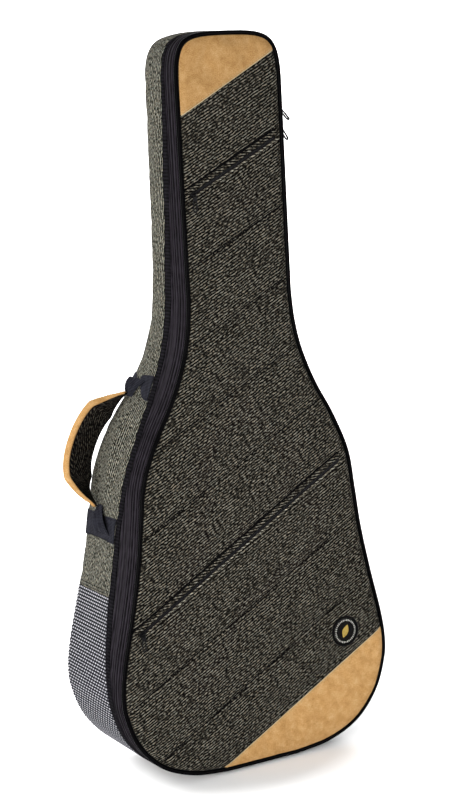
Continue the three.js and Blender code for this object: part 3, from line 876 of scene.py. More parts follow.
SHEET_LOOP = inset_loop(FACE_EDGE + 0.4, 4)
QUILT_LINES = [quilt_line(height) for height in QUILT_HEIGHTS]
SLOT_LOW, SLOT_HIGH = -3.4, 4.2
LIP_ROWS = (11.2, -7.0)
LIP_SEAMS = [beside_zip(line, above) for line in POCKETS.values() for above in LIP_ROWS]


def front_rest(points):
    """Depth of the padded front before it is blown up: rolled off at the piping."""
    edge = distance_to(points, inset_loop(FACE_EDGE, 6), closed=True)
    return LID_FACE - 1.0 + 3.4 * np.exp(-edge / 5.0)


def channel(points, lines, width):
    """1 on a line, falling to 0 a width away."""
    nearest = np.full(len(points), 1e9)
    for line in lines:
        nearest = np.minimum(nearest, distance_to(points, line))
    return hump(nearest, 0, width)


def make_front_sheet():
    """The whole front as one sheet: tweed, and the ground under the suede and the pocket lips."""
    holes = [strip_loop(line, END_BRIDGE + 2, SLOT_LOW, SLOT_HIGH) for line in POCKETS.values()]
    seams = [*QUILT_LINES, suede_edge_line(TOP_SUEDE), suede_edge_line(BOTTOM_SUEDE)]
    filled = fill(SHEET_LOOP, 5.0, seams, holes)
    flat = filled[0]
    obj = upright_sheet("front_panel", filled, FRONT_Y + front_rest(flat), -1)
    sewn = distance_to(flat, SHEET_LOOP, closed=True) < 1
    for line in seams:
        sewn |= distance_to(flat, line) < 0.5
    for hole in holes:
        sewn |= distance_to(flat, hole, closed=True) < 6
    sewn |= np.linalg.norm(flat - BADGE_AT, axis=1) < BADGE_R + 1
    inflate_later(obj, sewn, pressure=3.0, cap=2.6, slack=0.012)
    return obj


def suede_edge_line(line):
    """The part of a suede patch's straight edge that lies on the face."""
    a, direction, _, length = line_frame(line)
    run = a + np.linspace(0, length, 400)[:, None] * direction
    return run[inside(run, inset_loop(FACE_EDGE + 1, 4))][[0, -1]]


front_sheet = make_front_sheet()


# ---- the side fabric ---------------------------------------------------------------------------
def side_profile(z, start, out=0.0, flat_points=14):
    """Insets and depths from a depth to the back, round the rear corner and onto the back."""
    deep = side_depth(z)
    radius = REAR_CORNER
    flat = np.linspace(0, 1, flat_points)[:, None]
    depth = start + (deep - radius - start) * flat
    inset = np.zeros_like(depth) - out
    turn = np.linspace(0, math.pi / 2, 6)[1:, None]
    corner_inset = radius - (radius + out) * np.cos(turn) + 0 * deep
    corner_depth = deep - radius + (radius + out) * np.sin(turn)
    end_inset = np.full((1, len(np.atleast_1d(z))), float(TURN))
    return (np.vstack([inset + 0 * deep, corner_inset, end_inset]).T,
            np.vstack([depth, corner_depth, deep[None] + out]).T)


def heights_at(stations):
    """Heights of stations on the outline."""
    return outline_at(stations)[0][:, 1]


def outward_at(stations):
    """Directions out of the bag's side."""
    normal = outline_at(stations)[1]
    return np.stack([-normal[..., 0], 0 * stations, -normal[..., 1]], -1)


def make_gusset():
    """The side's tweed, from the scuff patch up round the head, held at its seams and bands."""
    patch = station_at(PATCH_TOP)
    stations = np.linspace(patch + 0.3, PERIMETER - patch - 0.3, 330)
    z = heights_at(stations)
    inset, depth = side_profile(z, binding_depth(z))
    share = (depth - depth[:, :1]) / (depth[:, -1:] - depth[:, :1])
    swell = 1.6 * np.sin(math.pi * np.clip(share * 1.05, 0, 1)) ** 0.7
    grid = side_point(stations[:, None], inset - swell, depth)
    obj = sheet("side_gusset", grid)
    face_outward(obj)
    sewn = np.zeros(grid.shape[:2], bool)
    sewn[:, [0, -1, -2]] = True
    sewn[[0, -1]] = True
    for height in LEFT_BANDS.values():
        sewn[np.abs(stations - (PERIMETER - station_at(height))) < BAND_HALF + 1] = True
    inflate_later(obj, sewn.ravel(), pressure=3.5, cap=3.2, slack=0.004, bending=1.5)
    return obj


def make_back():
    """The back's tweed, with a seam up its middle."""
    loop = inset_loop(TURN + 6.6, 4)
    centre_seam = np.array([(0, 60), (0, 1020)], float)
    filled = fill(loop, 7.0, [centre_seam])
    flat = filled[0]
    edge = distance_to(flat, loop, closed=True)
    depth = side_depth(flat[:, 1]) + 0.2 - 1.2 * np.exp(-edge / 6)
    obj = upright_sheet("back_panel", filled, FRONT_Y + depth, 1)
    sewn = (edge < 1) | (distance_to(flat, centre_seam) < 1)
    inflate_later(obj, sewn, pressure=2.0, cap=1.6, slack=0.006)
    return obj


gusset_sheet = make_gusset()
back_sheet = make_back()


# ---- the shoulder straps -----------------------------------------------------------------------
STRAP_PATH = [(38, 690), (44, 620), (66, 520), (92, 420), (104, 330), (104, 262)]
STRAP_WIDTH = 54
STRAP_LIFT = 2.8
STRAP_PAD = 11.5


def strap_frame(path, side, step):
    """Points along a strap's middle and the directions across it, in front view."""
    line = evenly(spline([(x * side, z) for x, z in path]), step)
    return line, bearings(line)[1]


def back_y(flat, lift):
    """The y of the back at front-view points, lifted off it by a distance."""
    return FRONT_Y + side_depth(flat[..., 1]) + lift


def on_back(flat, lift):
    """Front-view points laid on the bag's back, lifted off it by a distance."""
    return upright(flat, back_y(flat, lift))


def make_strap(name, side):
    """A padded strap: a flat underside, a crowned top and a sewn edge."""
    step, end_round, top_points = 6, 14, 13
    line, across = strap_frame(STRAP_PATH, side, step)
    count = len(line)
    from_end = np.minimum(np.arange(count), np.arange(count)[::-1]) * step
    short = (end_round - np.minimum(from_end, end_round)) / (end_round + 2)
    half = STRAP_WIDTH / 2 * np.sqrt(np.clip(1 - short ** 2, 0.05, 1))
    u = np.linspace(-1, 1, top_points)
    top = np.stack([u, 0.5 + 0.36 * (1 - u**4)], -1)
    under = np.stack([u[-2:0:-1], 0.5 - 0.42 * (1 - u[-2:0:-1] ** 6)], -1)
    ring = np.vstack([top, under])
    flat = line[:, None] + across[:, None] * (ring[None, :, :1] * half[:, None, None])
    lift = STRAP_LIFT + STRAP_PAD * ring[None, :, 1] * np.ones((count, 1))
    obj = loft(name, on_back(flat, lift))
    sewn = np.zeros((count, len(ring)), bool)
    sewn[:, [0, top_points - 1]] = True
    sewn[:, top_points:] = True
    sewn[[0, -1]] = True
    sewn[8::8] = True
    inflate_later(obj, sewn.ravel(), pressure=4.0, cap=3.0, slack=0.02)
    return obj


SIDES = {"left": -1, "right": 1}
strap_pads = {side: make_strap(f"padded_strap_{side}", sign) for side, sign in SIDES.items()}

run_inflation()

# ---- the lid's face, once it is blown up -------------------------------------------------------
refine(front_sheet)


def sew_channels():
    """Presses the sewn channels into the front and puckers the cloth beside them."""
    points = points_of(front_sheet)
    flat = points[:, [0, 2]]
    sunk = channel(flat, QUILT_LINES + LIP_SEAMS, 2.4)
    beside = channel(flat, QUILT_LINES, 10.0)
    pucker = ripple(flat, 24, 4) * beside * (1 - sunk)
    points[:, 1] += 2.5 * sunk + 0.5 * pucker
    edge = distance_to(flat, SHEET_LOOP, closed=True)
    points[:, 1] += 0.35 * ripple(flat, 95, 9) * np.clip(edge / 25, 0, 1)
    set_points(front_sheet, points)


sew_channels()


def surface_tree(obj):
    """A search tree of an object's faces, in metres."""
    mesh = obj.data
    return BVHTree.FromPolygons([v.co for v in mesh.vertices], [tuple(p.vertices) for p in mesh.polygons])


front_tree = surface_tree(front_sheet)


def front_y(flat):
    """The front panel's y at front-view points, in mm."""
    flat = np.asarray(flat, float)
    result = np.empty(len(flat))
    for i, (x, z) in enumerate(flat):
        hit = front_tree.ray_cast(Vector((x * MM, -0.3, z * MM)), Vector((0, 1, 0)))[0]
        if hit is None:
            hit = front_tree.find_nearest(Vector((x * MM, (FRONT_Y + LID_FACE) * MM, z * MM)))[0]
        result[i] = hit.y / MM
    return result


def on_front(flat, lift):
    """Front-view points laid on the front panel, lifted off it by a distance."""
    flat = np.asarray(flat, float)
    return upright(flat, front_y(flat.reshape(-1, 2)).reshape(flat.shape[:-1]) - lift)


def clip_loop(loop, line, above):
    """The part of a loop on one side of a line."""
    a, direction, up, _ = line_frame(line)
    height = (loop - a) @ up * (1 if above else -1)
    kept = []
    for i in range(len(loop)):
        j = (i + 1) % len(loop)
        if height[i] >= 0:
            kept.append(loop[i])
        if (height[i] < 0) != (height[j] < 0):
            share = height[i] / (height[i] - height[j])
            kept.append(loop[i] + (loop[j] - loop[i]) * share)
    return np.array(kept)


def make_suede(name, line, above, node):
    """A suede patch on the tweed, with its cut edge and its stitching."""
    filled = fill(clip_loop(inset_loop(FACE_EDGE + 0.2, 2), line, above), 4.0)
    flat = filled[0]
    edge = distance_to(flat, np.array(line, float))
    lift = 1.0 - 0.5 * hump(edge, 0, 1.6) + 0.18 * ripple(flat, 40, 21)
    obj = upright_sheet(name, filled, front_y(flat) - lift, -1)
    thicken(obj, 0.9)
    # the bottom patch takes the lighter copy of the suede: painted light
    finish_piece(obj, "suede" if above else "low_suede", "lid", "suede", node)
    run = evenly(suede_edge_line(line), 3)
    up = line_frame(line)[2] * (1 if above else -1)
    # a cream cord along the straight edge: partly the raw cut edge, partly a painted highlight
    ring = np.array([(math.cos(t), math.sin(t)) for t in round_turn(8)])
    flat_ring = run[:, None] + up * 0.2 + ring[None, :, :1] * up * 0.75
    cord = on_front(flat_ring, 0.75) + FORWARD * (ring[None, :, 1:2] * 0.55)
    finish_piece(loft(f"{name}_cut_edge", cord), "suede_edge", "lid", "suede")
    row = on_front(run + up * 3.2, 1.05)
    finish_piece(stitches(f"{name}_stitching", row, FORWARD), "thread", "lid", "suede")


make_suede("top_suede_patch", TOP_SUEDE, True, "top_suede")
make_suede("bottom_suede_patch", BOTTOM_SUEDE, False, "bottom_suede")


def make_quilt_threads():
    """The dark threads along the front's sewn channels."""
    rows = [stitches("quilt_row", on_front(evenly(line, 4), 0.25), FORWARD, 3.6, 3.4, 1.0)
            for line in QUILT_LINES]
    finish_piece(joined("quilting_stitches", rows), "dark_thread", "lid", "tweed")


make_quilt_threads()


# ---- pockets -----------------------------------------------------------------------------------
# the face is measured this far above a zip, clear of its slot
BESIDE_ZIP = 9


def bar_on_front(name, line, from_end, section):
    """A bar along a pocket's zip; its section is (distance above the zip, lift off the face)."""
    a, direction, up, length = line_frame(line)
    run = a + np.arange(from_end, length - from_end + 0.01, 4.0)[:, None] * direction
    section = np.asarray(section, float)
    base = front_y(run + up * BESIDE_ZIP)
    flat = run[:, None] + up * section[None, :, :1]
    return loft(name, upright(flat, base[:, None] - section[None, :, 1]))


def rounded(low, high, bottom, top):
    """A rounded bar's section between two heights and two lifts."""
    squared = lambda share: np.sign(share) * abs(share) ** 0.6
    turn = np.linspace(0, 2 * math.pi, 20, endpoint=False)
    return [((low + high) / 2 + (high - low) / 2 * squared(math.cos(t)),
             (bottom + top) / 2 + (top - bottom) / 2 * squared(math.sin(t))) for t in turn]


def make_pocket(name, line):
    """A pocket's zip: its tape and coil, the fold over it, the roll under it in a lighter tweed as a painted
    highlight, a black cord of painted shadow above the fold, and their stitching.
    """
    a, direction, up, length = line_frame(line)
    spread = lambda v: np.array([v[0], 0, v[1]])
    tape = [(-6.2, -2.4), (-6.2, -1.7), (-2.6, -1.6), (-0.3, -1.4), (0.3, -1.4), (2.6, -1.6), (6.2, -1.7),
            (6.2, -2.4)]
    tape = bar_on_front(f"{name}_zip_tape", line, END_BRIDGE, tape)
    finish_piece(tape, "tape", "lid", "zip_tape", f"{name}_tape")
    stations = np.arange(END_BRIDGE + 4, length - END_BRIDGE - 4, 2.0)
    y = front_y(a + stations[:, None] * direction + up * BESIDE_ZIP)
    rows = []
    for side in (-1, 1):
        flat = a + (stations + 0.5 * side)[:, None] * direction + up * side * 0.9
        rows.append(coil_teeth("teeth", upright(flat, y + 1.0), spread(direction), spread(up), FORWARD,
                               2.4, 1.5, 1.5))
    finish_piece(joined(f"{name}_zip_coil", rows), "coil", "lid", "zip_coil", f"{name}_coil")
    for part, section, look, nodes in (
            ("upper_fold", rounded(3.0, 9.8, -0.6, 1.75), "tweed", [f"{name}_welt"]),
            # the lower roll in the lighter copy of the tweed: a painted highlight
            ("lower_roll", rounded(-5.6, -2.9, -0.6, 1.3), "tweed_edge", []),
            # a black cord sunk above the fold: a painted shadow in the groove there
            ("painted_fold_shadow", rounded(9.9, 12.3, -1.2, 0.35), "dark_thread", [])):
        finish_piece(bar_on_front(f"{name}_{part}", line, 3, section), look, "lid", "tweed", *nodes)
    run = a + np.arange(3, length - 3, 4.0)[:, None] * direction
    rows = [stitches("row", on_front(run + up * above, 0.1), FORWARD, 3.2, 2.6, 0.45) for above in LIP_ROWS]
    finish_piece(joined(f"{name}_stitches", rows), "dark_thread", "lid", "tweed")


for pocket_name, pocket_line in POCKETS.items():
    make_pocket(pocket_name, pocket_line)

thicken(front_sheet, 1.2)
finish_piece(front_sheet, "tweed", "lid", "tweed", "lid_skin", fill_share=0.7)


# ---- the badge ---------------------------------------------------------------------------------
def turned(name, profile, centre, y, sides=72):
    """A shape turned about an axis that points at the viewer: profile is (radius, lift)."""
    angles = round_turn(sides)
    profile = np.array(profile, float)
    ring = np.stack([
        centre[0] + profile[None, :, 0] * np.cos(angles)[:, None],
        np.broadcast_to(y - profile[:, 1], (sides, len(profile))),
        centre[1] + profile[None, :, 0] * np.sin(angles)[:, None]], -1)
    return loft(name, ring, wrap=True)


def make_badge():
    """A round badge: a disc, a rolled rim, a ring of plain ticks and a leaf."""
    y = float(front_y(np.array([BADGE_AT], float))[0])
    disc = [(0.01, -0.4), (0.01, 1.3), (19.6, 1.3), (20.4, 1.1), (20.4, -0.4)]
    finish_piece(turned("badge_disc", disc, BADGE_AT, y), "badge_face", "lid", "badge_black", "badge_base")
    bead = [(BADGE_R - 2 + 2 * math.cos(t), 0.9 + 1.3 * math.sin(t)) for t in round_turn(14)]
    finish_piece(turned("badge_ring", bead, BADGE_AT, y), "badge_black", "lid", "badge_rim", "badge_rim")
    ticks = []
    tick_ring = 17.2
    for number, angle in enumerate(round_turn(36)):
        out = np.array([math.cos(angle), math.sin(angle)])
        beside = np.array([-out[1], out[0]])
        half_tall = (2.8 if number % 3 else 1.8) / 2
        middle = BADGE_AT + out * tick_ring
        corners = [beside * across * 0.55 + out * along * half_tall
                   for across, along in ((-1, -1), (1, -1), (1, 1), (-1, 1))]
        rings = [[(middle[0] + x * share, y - lift, middle[1] + z * share) for x, z in corners]
                 for lift, share in ((1.25, 1.0), (1.5, 1.0), (1.6, 0.7))]
        ticks.append(loft("tick", rings))
    finish_piece(joined("badge_ticks", ticks), "pale", "lid", "badge_gold")
    make_leaf(y)


def make_leaf(y):
    """A plain leaf: an almond outline with a raised middle and side veins."""
    half_width, tall, lean = 5.4, 21, math.radians(-24)
    turn = np.array([[math.cos(lean), -math.sin(lean)], [math.sin(lean), math.cos(lean)]])
    t = np.linspace(0.02, 0.98, 25)
    half = half_width * np.sin(math.pi * t) ** 0.9
    rise = (t - 0.5) * tall
    section = [(-1, 0), (-0.95, 0.35), (-0.5, 0.25), (0, 0.75), (0.5, 0.25), (0.95, 0.35), (1, 0)]
    rings = np.array([[(*(turn @ np.array([share * w, z])), lift) for share, lift in section]
                      for z, w in zip(rise, half)])
    leaf = np.stack([BADGE_AT[0] + rings[..., 0], y - 1.2 - rings[..., 2], BADGE_AT[1] + rings[..., 1]], -1)
    finish_piece(loft("badge_leaf_mark", leaf), "gold", "lid", "badge_gold", "badge_leaf")


make_badge()


# ---- piping, zip strip, binding and the edge of the back ---------------------------------------
def ring_stations(step):
    """Stations right round the outline, about a step apart."""
    return np.linspace(0, PERIMETER, int(PERIMETER / step), endpoint=False)


def round_cord(name, inset, depth_of, radius):
    """A cord of round section right round the outline."""
    stations = ring_stations(5.0)
    turn = round_turn(14)
    depth = depth_of(heights_at(stations))
    rings = side_point(stations[:, None], inset + radius * np.cos(turn)[None],
                       depth[:, None] + radius * np.sin(turn)[None])
    return loft(name, rings, wrap=True)


def side_band(name, stations, near, far, profile, thickness, wrap):
    """A band round the side between two depths; profile is (share across, how far it stands out)."""
    z = heights_at(stations)
    profile = np.asarray(profile, float)
    depth = near(z)[:, None] + (far(z) - near(z))[:, None] * profile[None, :, 0]
    inset = -profile[None, :, 1] + 0 * depth
    outer = np.stack([inset, depth], -1)
    inner = np.stack([np.full_like(inset, thickness), depth], -1)[:, ::-1]
    ring = np.concatenate([outer, inner[:, [0, -1]]], axis=1)
    return loft(name, side_point(stations[:, None], ring[..., 0], ring[..., 1]), wrap=wrap)


def constant(depth):
    """A depth that is the same at every height."""
    return lambda z: np.full(len(np.atleast_1d(z)), float(depth))


def make_zip_strip():
    """The main zip: a tape on the lid and one on the case, from the hinge right round, and their coils."""
    low, high = (station_at(z) for z in HINGE_SPAN)
    stations = np.linspace(high + 0.4, low + PERIMETER - 0.4, 520)
    lid_profile = [
        (0, -1.7), (0.07, -1.5), (0.1, -0.5), (0.14, -0.2), (0.2, -0.3), (0.24, -0.9), (0.28, -0.9),
        (0.32, -0.35), (0.45, -0.3), (0.58, -0.3), (0.62, -0.6), (0.66, 0.0), (0.76, 0.4), (0.88, 0.35),
        (0.96, 0.0), (1, -0.9)]
    case_profile = [
        (0, -0.9), (0.03, 0.0), (0.1, 0.35), (0.2, 0.4), (0.28, 0.1), (0.33, -0.7), (0.37, -0.3), (0.5, -0.3),
        (0.62, -0.3), (0.68, -0.85), (0.74, -0.2), (0.84, 0.4), (0.92, 0.3), (0.96, -0.8), (1, -1.7)]
    for body, near, far, profile, node in (
            ("lid", constant(7.3), constant(SPLIT - 0.35), lid_profile, "lid_tape"),
            ("case", constant(SPLIT + 0.35), groove_depth, case_profile, "base_tape")):
        tape = side_band(f"{body}_zip_tape", stations, near, far, profile, 1.9, False)
        finish_piece(tape, "tape", body, "zip_tape", node)
    teeth = np.arange(high + 3, low + PERIMETER - 3, 2.2)
    for body, side, node in (("lid", -1, "lid_coil"), ("case", 1, "base_coil")):
        at = teeth + 0.55 * side
        inward = -outward_at(at)
        along = np.cross(BACKWARD, inward)
        centres = side_point(at, 1.35, SPLIT + side * 1.3)
        coil = coil_teeth(f"{body}_zip_coil", centres, along, BACKWARD, inward, 2.2, 1.2, 1.7)
        finish_piece(coil, "coil", body, "zip_coil", node)


def make_hinge():
    """The fabric hinge: one strip from the case to the lid, folded along the split."""
    near, far = 7.6, 46
    low, high = (station_at(z) for z in HINGE_SPAN)
    stations = np.linspace(low, high, 60)
    share = np.linspace(0, 1, 33)
    fold = 0.5 * hump(share * (far - near), SPLIT - near, 2.0)
    profile = np.stack([share, 0.2 + 0.25 * np.sin(share * math.pi) - fold], -1)
    strip = side_band("fabric_hinge", stations, constant(near), constant(far), profile, 1.6, False)
    finish_piece(strip, "binding", None, "black_binding", "hinge_strip_base", "hinge_strip_lid")
    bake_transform(strip)


def make_binding():
    """The black binding between the zip and the tweed of the side."""
    stations = ring_stations(4.0)
    profile = [(0, -1.4), (0.03, 0.1), (0.1, 0.5), (0.18, 0.2), (0.3, 0.35), (0.7, 0.35), (0.84, 0.2),
               (0.92, 0.6), (0.98, 0.3), (1, -0.8)]
    near = lambda z: groove_depth(z) + 0.5
    band = side_band("binding_strip", stations, near, binding_depth, profile, 1.9, True)
    finish_piece(band, "binding", "case", "black_binding", "binding_band")


front_cord = round_cord("front_piping_cord", PIPING_R, constant(0.7 + PIPING_R), PIPING_R)
finish_piece(front_cord, "piping", "lid", "piping", "front_piping")
rear_cord = round_cord("rear_piping_cord", TURN + 3.0, lambda z: side_depth(z) - 2.3, 2.8)
finish_piece(rear_cord, "piping", "case", "piping", "rear_piping")
make_zip_strip()
make_hinge()
make_binding()


# ---- gusset, ribbed patch, back ----------------------------------------------------------------
def crease_gusset():
    """Adds soft creases to the blown-up side, and a ridge and a puff beside the handle."""
    refine(gusset_sheet)
    points = points_of(gusset_sheet)
    z = points[:, 2]
    depth = points[:, 1] - FRONT_Y
    near = binding_depth(z)
    share = np.clip((depth - near) / (side_depth(z) - near), 0, 1)
    free = np.sin(math.pi * share) ** 1.2
    between_bands = hump(z, 475, 62, 4)
    ridge = 3.0 * hump(share, 0.42, 0.11) - 1.6 * hump(share, 0.2, 0.1)
    ridge -= 1.4 * hump(share, 0.66, 0.1)
    waves = ripple(np.stack([z * 0.22, depth], -1), 44, 3)
    puff = 7.5 * hump(z, 515, 42) * np.sin(math.pi * share ** 1.6) ** 0.8
    by_handle = np.where(points[:, 0] < 0, between_bands * ridge * np.clip(free * 2, 0, 1) + puff, 0)
    points[:, 0] += np.sign(points[:, 0]) * (free * np.where(z > 620, 0.25, 0.7) * waves + by_handle)
    set_points(gusset_sheet, points)


crease_gusset()
side_tree = surface_tree(gusset_sheet)


def on_side(station, depth, lift):
    """Points laid on the tweed side, lifted off it, and the outward directions there."""
    station, depth = np.broadcast_arrays(np.asarray(station, float), np.asarray(depth, float))
    start = side_point(station, -30.0, depth)
    out = outward_at(station)
    points = []
    for origin, direction in zip(start, out):
        hit = side_tree.ray_cast(Vector(origin * MM), Vector(-direction))[0]
        points.append(np.array(hit) / MM + direction * lift)
    return np.array(points), out


def make_patch_seam():
    """Two rows of dark stitches over a sewn fold, just above the scuff patch."""
    rows = []
    for side in (-1, 1):
        for above in (3.4, 8.2):
            station = side * (station_at(PATCH_TOP) + above)
            z = heights_at(np.array([station]))
            depth = np.linspace(binding_depth(z)[0] + 3, side_depth(z)[0] - 7, 50)
            path, out = on_side(station, depth, 0.2)
            rows.append(stitches("patch_row", path, out, 3.4, 2.8, 0.65))
    finish_piece(joined("patch_seam_stitches", rows), "dark_thread", "case", "side_tweed")


make_patch_seam()
thicken(gusset_sheet, 1.4)
# the side tweed is painted lighter than the front's: painted light from the key on the left
finish_piece(gusset_sheet, "side_tweed", "case", "side_tweed", "gusset_skin", fill_share=0.5)


def make_ribbed_patch():
    """The scuff patch: ribs across the side, their rear ends turned onto the back."""
    patch = station_at(PATCH_TOP)
    rib_pitch = 4.9
    bead_length = 7.4
    count = int(2 * patch / rib_pitch)
    shares = np.array([0, 0.14, 0.3, 0.5, 0.7, 0.86])
    lift = np.array([-0.35, 0.35, 0.95, 1.1, 0.95, 0.35])
    stations = (np.arange(count)[:, None] + shares[None]).ravel() * (2 * patch / count) - patch
    rise = np.tile(lift, count)
    z = heights_at(stations)
    inset, depth = side_profile(z, binding_depth(z) + 0.4, flat_points=100)
    steps = np.hypot(np.diff(inset, axis=1), np.diff(depth, axis=1)).mean(axis=0)
    place = np.concatenate([[0], np.cumsum(steps)])
    shift = np.repeat(np.arange(count) % 2, len(shares)) * math.pi
    beads = 0.78 + 0.22 * np.sin(place[None] / bead_length * 2 * math.pi + shift[:, None])
    rise = rise[:, None] * np.where(rise[:, None] > 0, beads, 1.0)
    tangent = unit(np.gradient(np.stack([inset, depth], -1), axis=1))
    out_inset, out_depth = -tangent[..., 1], tangent[..., 0]
    grid = side_point(stations[:, None], inset + out_inset * rise, depth + out_depth * rise)
    obj = sheet("ribbed_scuff_patch", grid)
    layer = obj.data.attributes.new("rib", "FLOAT", "POINT")
    layer.data.foreach_set("value", np.clip(rise / lift.max(), 0, 1).astype(np.float32).ravel())
    face_outward(obj)
    thicken(obj, 1.2)
    finish_piece(obj, "ribbed_patch", "case", "ribbed_patch", "bottom_patch")


make_ribbed_patch()

refine(back_sheet)
thicken(back_sheet, 1.4)
finish_piece(back_sheet, "side_tweed", "case", "tweed", "back_skin", fill_share=0.7)


# ---- webbing bands and the carry handle --------------------------------------------------------
def make_web_band(name, height):
    """A webbing band across the side, folded over the rear corner, with its sewn ends."""
    middle = PERIMETER - station_at(height)
    stations = np.linspace(middle - BAND_HALF, middle + BAND_HALF, 15)
    z = heights_at(stations)
    inset, depth = side_profile(z, binding_depth(z) + 0.6, out=1.9)
    edge = np.minimum(stations - stations[0], stations[-1] - stations)
    inset = inset + 0.5 * np.exp(-edge / 0.8)[:, None]
    obj = sheet(f"web_band_{name}_strip", side_point(stations[:, None], inset, depth))
    face_outward(obj)
    refine(obj)
    thicken(obj, 1.3)
    finish_piece(obj, "webbing", "case", "webbing", f"web_band_{name}")
    rows = []
    for offset in (2.5 - BAND_HALF, BAND_HALF - 2.5):
        at = np.full(30, middle + offset)
        share = np.linspace(0.04, 0.93, 30)
        near = binding_depth(heights_at(at))
        path = side_point(at, -2.15, near + (side_depth(heights_at(at)) - 6 - near) * share)
        rows.append(stitches("web_row", path, outward_at(at)))
    finish_piece(joined(f"web_band_{name}_stitches", rows), "dark_thread", "case", "webbing")


for band_name, band_height in LEFT_BANDS.items():
    make_web_band(band_name, band_height)

HANDLE_TOP = np.array([-127.0, FRONT_Y + 126, 567.0])
HANDLE_BOTTOM = np.array([-190.0, FRONT_Y + 126, 400.0])
HANDLE_LEAN = math.radians(50)
# the bow: distance down from the top anchor, and out from the line between the anchors
HANDLE_BOW = [(2, 8), (8, 14), (20, 24), (40, 38), (64, 47), (92, 51), (118, 50), (140, 43), (157, 32),
              (167, 21), (171, 14), (176, 8)]
# half its width at each distance down: it is gathered to a point at its anchors
HANDLE_HALF = 26
HANDLE_END_HALF = 6
HANDLE_TAPER = [(-4, 4), (2, HANDLE_END_HALF), (16, 15), (36, HANDLE_HALF), (142, HANDLE_HALF), (162, 15),
                (176, HANDLE_END_HALF), (184, 4)]
# the grip turns its inner face a little to the front
HANDLE_TWIST = math.radians(23)
# its gathered ends sweep forward over the side
HANDLE_SWEEP = 11


def handle_frame():
    """The handle's directions: down between its anchors, out of the bag, and across its width."""
    down = HANDLE_BOTTOM - HANDLE_TOP
    down /= np.linalg.norm(down)
    outward_flat = np.array([down[2], 0, -down[0]])
    out = outward_flat * math.cos(HANDLE_LEAN) + np.array([0, math.sin(HANDLE_LEAN), 0])
    return down, out, np.cross(down, out)


def handle_rings(section):
    """Rings along the handle's bow; a section is (share of the half width, distance outward)."""
    down, out, across = handle_frame()
    line = evenly(spline(HANDLE_BOW), 3.0)
    normal = bearings(line)[1]
    half = np.interp(line[:, 0], *np.array(HANDLE_TAPER, float).T)
    section = np.asarray(section, float)
    fullness = np.clip(half / HANDLE_HALF, 0.35, 1)[:, None]
    turn = HANDLE_TWIST * np.clip((half[:, None] - HANDLE_END_HALF) / (HANDLE_HALF - HANDLE_END_HALF), 0, 1)
    wide, thick = section[None, :, 0] * half[:, None], section[None, :, 1] * fullness
    side = wide * np.cos(turn) + thick * np.sin(turn)
    rise = thick * np.cos(turn) - wide * np.sin(turn)
    bow = line[:, None] + normal[:, None] * rise[..., None]
    from_end = np.minimum(line[:, 0], 178 - line[:, 0])
    sweep = HANDLE_SWEEP * np.clip(1 - from_end / 30, 0, 1.1)[:, None, None] ** 2
    grid = HANDLE_TOP + bow[..., :1] * down + bow[..., 1:] * out + side[..., None] * across
    return grid + sweep * FORWARD


def make_handle():
    """The grip: tweed padding under a leather wrap that folds over one edge, with two sewn rows."""
    leather = [(0.98, 0.4), (1.02, 1.2), (1.02, 4.0), (0.93, 6.2), (0.5, 6.9), (-0.5, 6.9), (-0.93, 6.2),
               (-1.02, 4.0), (-1.04, 0.5), (-1.03, -3.5), (-0.98, -6.6), (-0.91, -7.3), (-0.86, -6.4),
               (-0.84, 0.6), (-0.5, 1.0), (0.5, 1.0)]
    core = [(0.96, 0.1), (0, 0.7), (-0.82, 0.2), (-0.83, -5.4), (-0.7, -6.2), (0, -6.6), (0.86, -6.2),
            (0.98, -4.6)]
    wrap = refine(loft("handle_leather_wrap", handle_rings(leather)))
    finish_piece(wrap, "leather", "carry_handle", "suede", "handle_leather")
    pad = refine(loft("handle_tweed_pad", handle_rings(core)))
    # the pad takes the darker copy of the tweed: painted shade
    finish_piece(pad, "handle_tweed", "carry_handle", "handle_tweed", "handle_core", fill_share=0.8)
    rows = []
    for side in (0.88, -0.88):
        grid = handle_rings([(side, 6.6), (side, 7.6)])[4:-4]
        rows.append(stitches("handle_row", grid[:, 0], grid[:, 1] - grid[:, 0]))
    finish_piece(joined("handle_stitches", rows), "thread", "carry_handle", "suede")


make_handle()


def make_handle_end(name, anchor, towards, rise, phase):
    """Gathered webbing between a band on the side and the handle's end; phase places its creases."""
    at = np.array([PERIMETER - station_at(LEFT_BANDS[name] + rise)])
    root = side_point(at, -2.6, HANDLE_TOP[1] - FRONT_Y - 10)[0]
    out = outward_at(at)[0]
    tip = anchor + towards * 7 - BACKWARD * HANDLE_SWEEP * 0.6
    share = np.linspace(0, 1, 22)
    centre = root + (tip - root) * share[:, None] + out * 7 * np.sin(math.pi * share)[:, None] * 0.6
    half = 24 * (1 - share) ** 1.1 + 6.5 * share + 1.0
    u = np.linspace(-1, 1, 25)
    folds = np.sin(u * 2.4 * math.pi + phase)[None] * (2.8 * np.sin(math.pi * share) ** 0.6 + 0.2)[:, None]
    lift = np.cross(unit(np.gradient(centre, axis=0)), BACKWARD)
    lift *= np.sign(lift @ out)[:, None]
    wide = (u[None] * half[:, None])[..., None]
    grid = centre[:, None] + BACKWARD * wide + lift[:, None] * folds[..., None]
    obj = sheet(f"handle_loop_{name}_webbing", grid)
    face_outward(obj)
    refine(obj)
    thicken(obj, 1.4)
    finish_piece(obj, "webbing", None, "webbing", f"handle_loop_{name}")
    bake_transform(obj)


HANDLE_DOWN = handle_frame()[0]
make_handle_end("upper", HANDLE_TOP, HANDLE_DOWN, 10, 0.4)
make_handle_end("lower", HANDLE_BOTTOM, -HANDLE_DOWN, -8, 1.3)


